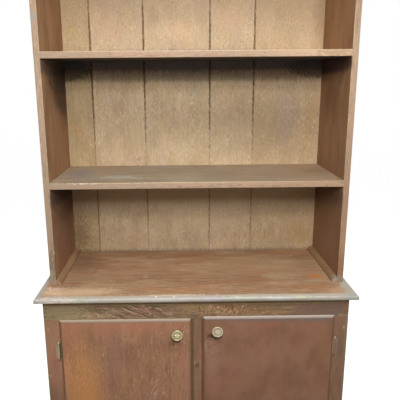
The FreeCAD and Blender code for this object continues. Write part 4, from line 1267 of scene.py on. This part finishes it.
@dataclass
class Knob:
    """A cast knob with a rosette inside a raised ring, in millimetres.

    The profile has pairs of a radius and the distance from the last one, from the foot to the face.
    """

    name: str
    body: str
    finish: KnobFinish
    profile: tuple[tuple[float, float], ...] = (
        (9.0, 1.6), (8.2, 0.9), (6.2, 1.0), (5.6, 4.0), (6.0, 5.5), (9.0, 2.2), (14.0, 2.2), (17.8, 1.8),
        (19.0, 1.4), (19.0, 2.6), (18.4, 1.2), (17.2, 0.9), (15.9, 0.1), (15.2, -0.8), (14.6, -0.5),
        (9.0, 0.0), (4.0, 0.5))
    ground: float = 2.0
    boss_radii: Point = (3.0, 1.9, 3.0)
    petals: int = 6
    petal_root: float = 5.8
    petal_radii: Point = (2.4, 1.9, 4.4)
    petal_tip: float = 3.2
    petal_pinch: Point = (0.35, 0.7, 1.0)
    petal_reach: float = 0.8
    beads: int = 20
    bead_ring: float = 12.4
    bead_rise: float = 0.2
    bead_radii: Point = (0.9, 0.8, 0.9)
    smooth_angle: float = 40.0

    def build(self) -> None:
        """Make the knob on its door."""
        low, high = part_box(self.name)
        centre = Vector(((low.x + high.x) / 2, high.y, (low.z + high.z) / 2))
        bench = Bench.disc(f"{self.name}_casting", centre, self.profile[0][0] * MM, (math.pi / 2, 0, 0))
        bench.pick(Pick.FACES)
        last = self.profile[0][0]
        for radius, advance in self.profile:
            bench.draw_out((0, -advance * MM, 0), (radius / last, 1, radius / last), centre)
            last = radius
        hub = Vector((centre.x, low.y + self.ground * MM, centre.z))
        shapes = [self.petal(number, hub) for number in range(self.petals)]
        shapes.append(self.ball("boss", hub, self.boss_radii))
        for number in range(self.beads):
            angle = number / self.beads * math.tau
            ring = self.bead_ring
            offset = Vector((math.cos(angle) * ring, self.bead_rise, math.sin(angle) * ring))
            shapes.append(self.ball(f"bead_{number}", hub + offset * MM, self.bead_radii))
        piece = bench.join(shapes).done(self.smooth_angle)
        self.finish.metal.dress(piece, self.marks(Vector((centre.x, low.y, centre.z)) / MM))
        settle(piece, self.body, "brass_knob", self.name)

    def marks(self, front: Vector) -> tuple[Mark, ...]:
        """Tarnish in the hollow ring, the rubbed rosette and the speckles.

        Args:
            front: the middle of the knob's front, in millimetres.

        Returns:
            The marks in order.
        """
        look, hub = self.finish, tuple(front)
        return (
            Band(Axis.Y, front.y + 2.2, front.y + 0.9, look.hollow, 0.85, 0.6),
            Patch(hub, (11, 1.8, 11), look.star, 0.85, 0.2, 0.5),
            Flecks(hub, (24, 9, 24), look.dark_specks, 2.6, 3.4, cover=0.34, strength=look.speckle),
            Flecks(hub, (24, 9, 24), look.pale_specks, 2.6, 3.0, cover=0.3, strength=look.speckle),
        )

    def ball(self, name: str, centre: Vector, radii: Point) -> Bench:
        """A flattened ball of the ornament.

        Args:
            name: its short name.
            centre: its middle.
            radii: its radii in millimetres.

        Returns:
            The bench with the ball on it.
        """
        clear_bench()
        bpy.ops.mesh.primitive_uv_sphere_add(segments=16, ring_count=8, radius=1, location=centre,
                                             scale=[radius * MM for radius in radii])
        bpy.ops.object.transform_apply(location=True, rotation=True, scale=True)
        return Bench(f"{self.name}_{name}")

    def petal(self, number: int, hub: Vector) -> Bench:
        """One pointed petal of the rosette, shaped upright and then swung to its place.

        Args:
            number: its place round the rosette.
            hub: the middle of the rosette.

        Returns:
            The bench with the petal on it.
        """
        root = hub + Vector((0, 0, self.petal_root * MM))
        bench = self.ball(f"petal_{number}", root, self.petal_radii)
        bench.pick(Pick.CORNERS, lambda corner: corner.z > root.z + self.petal_tip * MM)
        bpy.ops.transform.resize(value=self.petal_pinch, center_override=root)
        bpy.ops.transform.translate(value=(0, 0, self.petal_reach * MM))
        bench.pick(Pick.CORNERS)
        angle = (number + 0.5) / self.petals * math.tau
        bpy.ops.transform.rotate(value=angle, orient_axis="Y", center_override=hub)
        bpy.ops.object.mode_set(mode="OBJECT")
        return bench


@dataclass(frozen=True)
class DoorFinish:
    """A door's wood and marks, its knob, its hinges, and the colours along its lip."""

    wood: Wood
    seed: int
    marks: tuple[Mark, ...]
    knob: KnobFinish
    hinge: Metal
    leaf_stain: str
    # The door side of the hinge barrels: painted shade on the left door, a painted highlight on the right
    painted_barrel_shading: str
    bevel: str
    # A painted highlight on the upper part of the top bevel
    bevel_highlight: str
    # Painted shade on the face just below the top bevel
    bevel_foot_shade: str
    side_rub: str = "#8f735c"
    # Painted shade on the outer part of the side bevels
    side_bevel_shade: str = "#7d5a3e"
    pin_paint: str = "#6b4b38"


LEFT_DOOR = DoorFinish(
    LEFT_DOOR_OAK, 81, LEFT_DOOR_MARKS, KnobFinish(CAST_BRASS, "#756b48", "#c4b88e", 0.3), ROLLED_BRASS,
    leaf_stain="#a07660", painted_barrel_shading="#4a4630", bevel="#948170", bevel_highlight="#b5a28c",
    bevel_foot_shade="#8c7062")
RIGHT_DOOR = DoorFinish(
    RIGHT_DOOR_OAK, 82, RIGHT_DOOR_MARKS, KnobFinish(SPECKLED_BRASS, "#8f8262", "#c9bd96", 0.8),
    PAINTED_BRASS, leaf_stain="#7d6250", painted_barrel_shading="#94745c", bevel="#93857a", bevel_highlight="#bdada2",
    bevel_foot_shade="#75665c")


@dataclass
class Door:
    """A lipped door with its bevel, knob and hinges. Lengths are in millimetres."""

    name: str
    finish: DoorFinish
    bevel: float = 7.0
    lip: float = 9.0
    margin: float = 11.5
    arris: float = 0.9

    def build(self) -> None:
        """Make the door and everything that it carries."""
        self.make_slab()
        Knob(f"{self.name}_knob", self.name, self.finish.knob).build()
        for level in ("upper", "lower"):
            self.dress_hinge(f"{self.name}_{level}_hinge")
        for part in ("hinge_screws", "knob_screw", "strike"):
            OLD_STEEL.dress(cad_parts[f"{self.name}_{part}"])
        CATCH_PLASTIC.dress(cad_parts[f"{self.name}_catch"])

    def make_slab(self) -> None:
        """The door itself: a bevelled lip, with the core that fills the opening behind it."""
        low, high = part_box(self.name)
        lip_back = low.y + self.lip * MM
        bench = Bench.box(f"{self.name}_board", low, (high.x, lip_back, high.z))
        bench.pick(Pick.FACES, lambda corner: corner.y > lip_back - MM)
        bpy.ops.mesh.inset(thickness=self.margin * MM)
        bench.draw_out((0, high.y - lip_back, 0))
        bench.pick(Pick.EDGES, lambda corner: corner.y < low.y + MM)
        bench.bevel(self.bevel, 1)
        piece = bench.soften(self.arris).done()
        self.finish.wood.dress(piece, Axis.Z, self.finish.seed, self.finish.marks + self.lip_marks())
        settle(piece, self.name, f"{self.name}_wood", self.name)

    def lip_marks(self) -> tuple[Mark, ...]:
        """Painted shade below the top bevel and on the outer part of the side bevels, a painted highlight on
        the top bevel over its own tone, and a rubbed tone on the side bevels.

        Returns:
            The marks in order.
        """
        low, high = limits(self.name)
        top, look = high.z - self.bevel, self.finish
        sides = ((low.x, 1), (high.x, -1))
        return (
            # Painted shade on the face just below the top bevel
            Band(Axis.Z, top - 2.0, top - 5.0, look.bevel_foot_shade, 0.6, 1.5),
            *(Band(Axis.X, side + 5.5 * step, side + 8 * step, look.side_rub, 0.3, 1.5)
              for side, step in sides),
            Band(Axis.Z, top + 0.2, top - 0.6, look.bevel, 0.95, 0.6),
            # Painted highlight on the upper part of the top bevel
            Band(Axis.Z, top + 4.6, top + 2.0, look.bevel_highlight, 0.9, 0.8),
            # Painted shade on the outer part of the side bevels
            *(Band(Axis.X, side + 0.5 * step, side + 2.5 * step, look.side_bevel_shade, 0.5, 1.5)
              for side, step in sides),
        )

    def dress_hinge(self, hinge: str) -> None:
        """Dress the leaves and the pin of a hinge.

        Args:
            hinge: the hinge's name.
        """
        look = self.finish
        foot, head = limits(f"{hinge}_pin")
        axis, middle = (foot.x + head.x) / 2, (foot.z + head.z) / 2
        inward = math.copysign(1.0, -axis)
        # The door side of the barrel: painted shade on the left door's hinges, a painted highlight on the right
        # door's
        barrel = Band(Axis.X, axis + 1.6 * inward, axis + 0.8 * inward, look.painted_barrel_shading, 0.85, 0.4)
        low, high = limits(f"{hinge}_frame_leaf")
        outer = low.x if inward > 0 else high.x
        stain = Band(Axis.X, outer + 7.5 * inward, outer + 9.5 * inward, look.leaf_stain, 0.95, 1.0)
        look.hinge.dress(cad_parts[f"{hinge}_door_leaf"], (barrel,))
        look.hinge.dress(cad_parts[f"{hinge}_frame_leaf"], (stain, barrel))
        RUBBED_PINS.dress(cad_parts[f"{hinge}_pin"],
                          (Band(Axis.Z, middle - 5, middle, look.pin_paint, 0.9),))


# ---------------------------------------------------------------- room, lamps and camera

@dataclass(frozen=True)
class Lamp:
    """A soft lamp: its place, what it faces, its width and depth, and its power in watts."""

    name: str
    place: Point
    target: Point
    size: tuple[float, float]
    power: float

    def build(self) -> None:
        """Hang the lamp."""
        data = bpy.data.lights.new(self.name, "AREA")
        data.shape = "ELLIPSE"
        data.size, data.size_y = self.size
        data.energy = self.power
        lamp = bpy.data.objects.new(self.name, data)
        lamp.location = self.place
        lamp.rotation_euler = (Vector(self.target) - Vector(self.place)).to_track_quat("-Z", "Y").to_euler()
        bpy.context.scene.collection.objects.link(lamp)


@dataclass(frozen=True)
class Studio:
    """The pale floor, the lamps and the camera."""

    eye: Point = (-0.0495, -1.72235, 1.4825)
    yaw: float = math.radians(0.475)
    pitch: float = math.radians(13.612)
    roll: float = math.radians(0.502)
    focal: float = 502.22
    picture: float = 400.0
    shift: float = 15.72
    sensor: float = 36.0
    white: str = "#ffffff"
    floor_colour: str = "#969694"
    floor_size: float = 60.0
    floor_glow: float = 0.92
    fill: float = 0.036
    lamps: tuple[Lamp, ...] = (
        Lamp("key_lamp", (0.1, -1.71, 1.9), (0, 0.1, 0.9), (0.5, 0.48), 29.0),
        Lamp("overhead_lamp", (0, -1.5, 2.8), (0, 0, 1.2), (1.8, 0.8), 24.0),
        Lamp("rear_left_lamp", (-2.4, 2.2, 2.0), (0, 0, 0.9), (1.6, 1.6), 60.0),
        Lamp("rear_right_lamp", (2.4, 2.2, 2.0), (0, 0, 0.9), (1.6, 1.6), 60.0),
    )

    def build(self) -> None:
        """Set the room, the lamps and the camera."""
        bpy.context.scene.view_settings.view_transform = "Standard"
        self.make_floor()
        self.make_world()
        for lamp in self.lamps:
            lamp.build()
        self.make_camera()

    def make_floor(self) -> None:
        """A plain pale floor that reads as white and keeps the cupboard's shadow."""
        clear_bench()
        bpy.ops.mesh.primitive_plane_add(size=self.floor_size)
        floor = bpy.context.object
        floor.name = "studio_floor"
        graph = Graph("matt_white_floor")
        graph.coat(floor, Base_Color=self.floor_colour, Roughness=0.9, Emission_Color=self.white,
                   Emission_Strength=graph.times(self.seen(graph), self.floor_glow))

    def seen(self, graph: Graph) -> Socket:
        """Whether a ray shows the backdrop: from the camera, or by reflection or through glass.

        Args:
            graph: the nodes to add it to.

        Returns:
            1 where it does, else 0.
        """
        rays = [graph.add(Kind.PATH, out=out)
                for out in ("Is Camera Ray", "Is Glossy Ray", "Is Transmission Ray")]
        both = graph.add(Kind.MATH, rays[0], rays[1], operation="MAXIMUM")
        return graph.add(Kind.MATH, both, rays[2], operation="MAXIMUM")

    def make_world(self) -> None:
        """Even white light from all round, with a white backdrop."""
        world = bpy.data.worlds.new("studio")
        bpy.context.scene.world = world
        graph = Graph("studio", world)
        light = graph.add(Kind.BACKGROUND, self.white, self.fill)
        backdrop = graph.add(Kind.BACKGROUND, self.white, 1.0)
        both = graph.add(Kind.EITHER, self.seen(graph), light, backdrop)
        graph.fill(graph.tree.nodes["World Output"].inputs["Surface"], both)

    def make_camera(self) -> None:
        """The camera, at standing height in front of the worktop."""
        ahead = Vector((math.sin(self.yaw) * math.cos(self.pitch),
                        math.cos(self.yaw) * math.cos(self.pitch), -math.sin(self.pitch)))
        level = Vector((math.cos(self.yaw), -math.sin(self.yaw), 0))
        down = ahead.cross(level)
        right = math.cos(self.roll) * level + math.sin(self.roll) * down
        below = -math.sin(self.roll) * level + math.cos(self.roll) * down
        data = bpy.data.cameras.new("camera")
        data.sensor_width = self.sensor
        data.lens = self.focal / self.picture * self.sensor
        data.shift_x = self.shift / self.picture
        camera = bpy.data.objects.new("camera", data)
        axes = Matrix((right, -below, -ahead)).transposed()
        camera.matrix_world = Matrix.Translation(self.eye) @ axes.to_4x4()
        bpy.context.scene.collection.objects.link(camera)
        bpy.context.scene.camera = camera


def main() -> None:
    """Build the cupboard's pieces in order, then the room."""
    logging.basicConfig(level=logging.INFO, format="%(message)s")
    sections = (Hutch(), Worktop(), LowerCase(), Door("left_door", LEFT_DOOR),
                Door("right_door", RIGHT_DOOR), Studio())
    for section in sections:
        LOG.info("building %s", type(section).__name__)
        section.build()


if __name__ == "__main__":
    main()
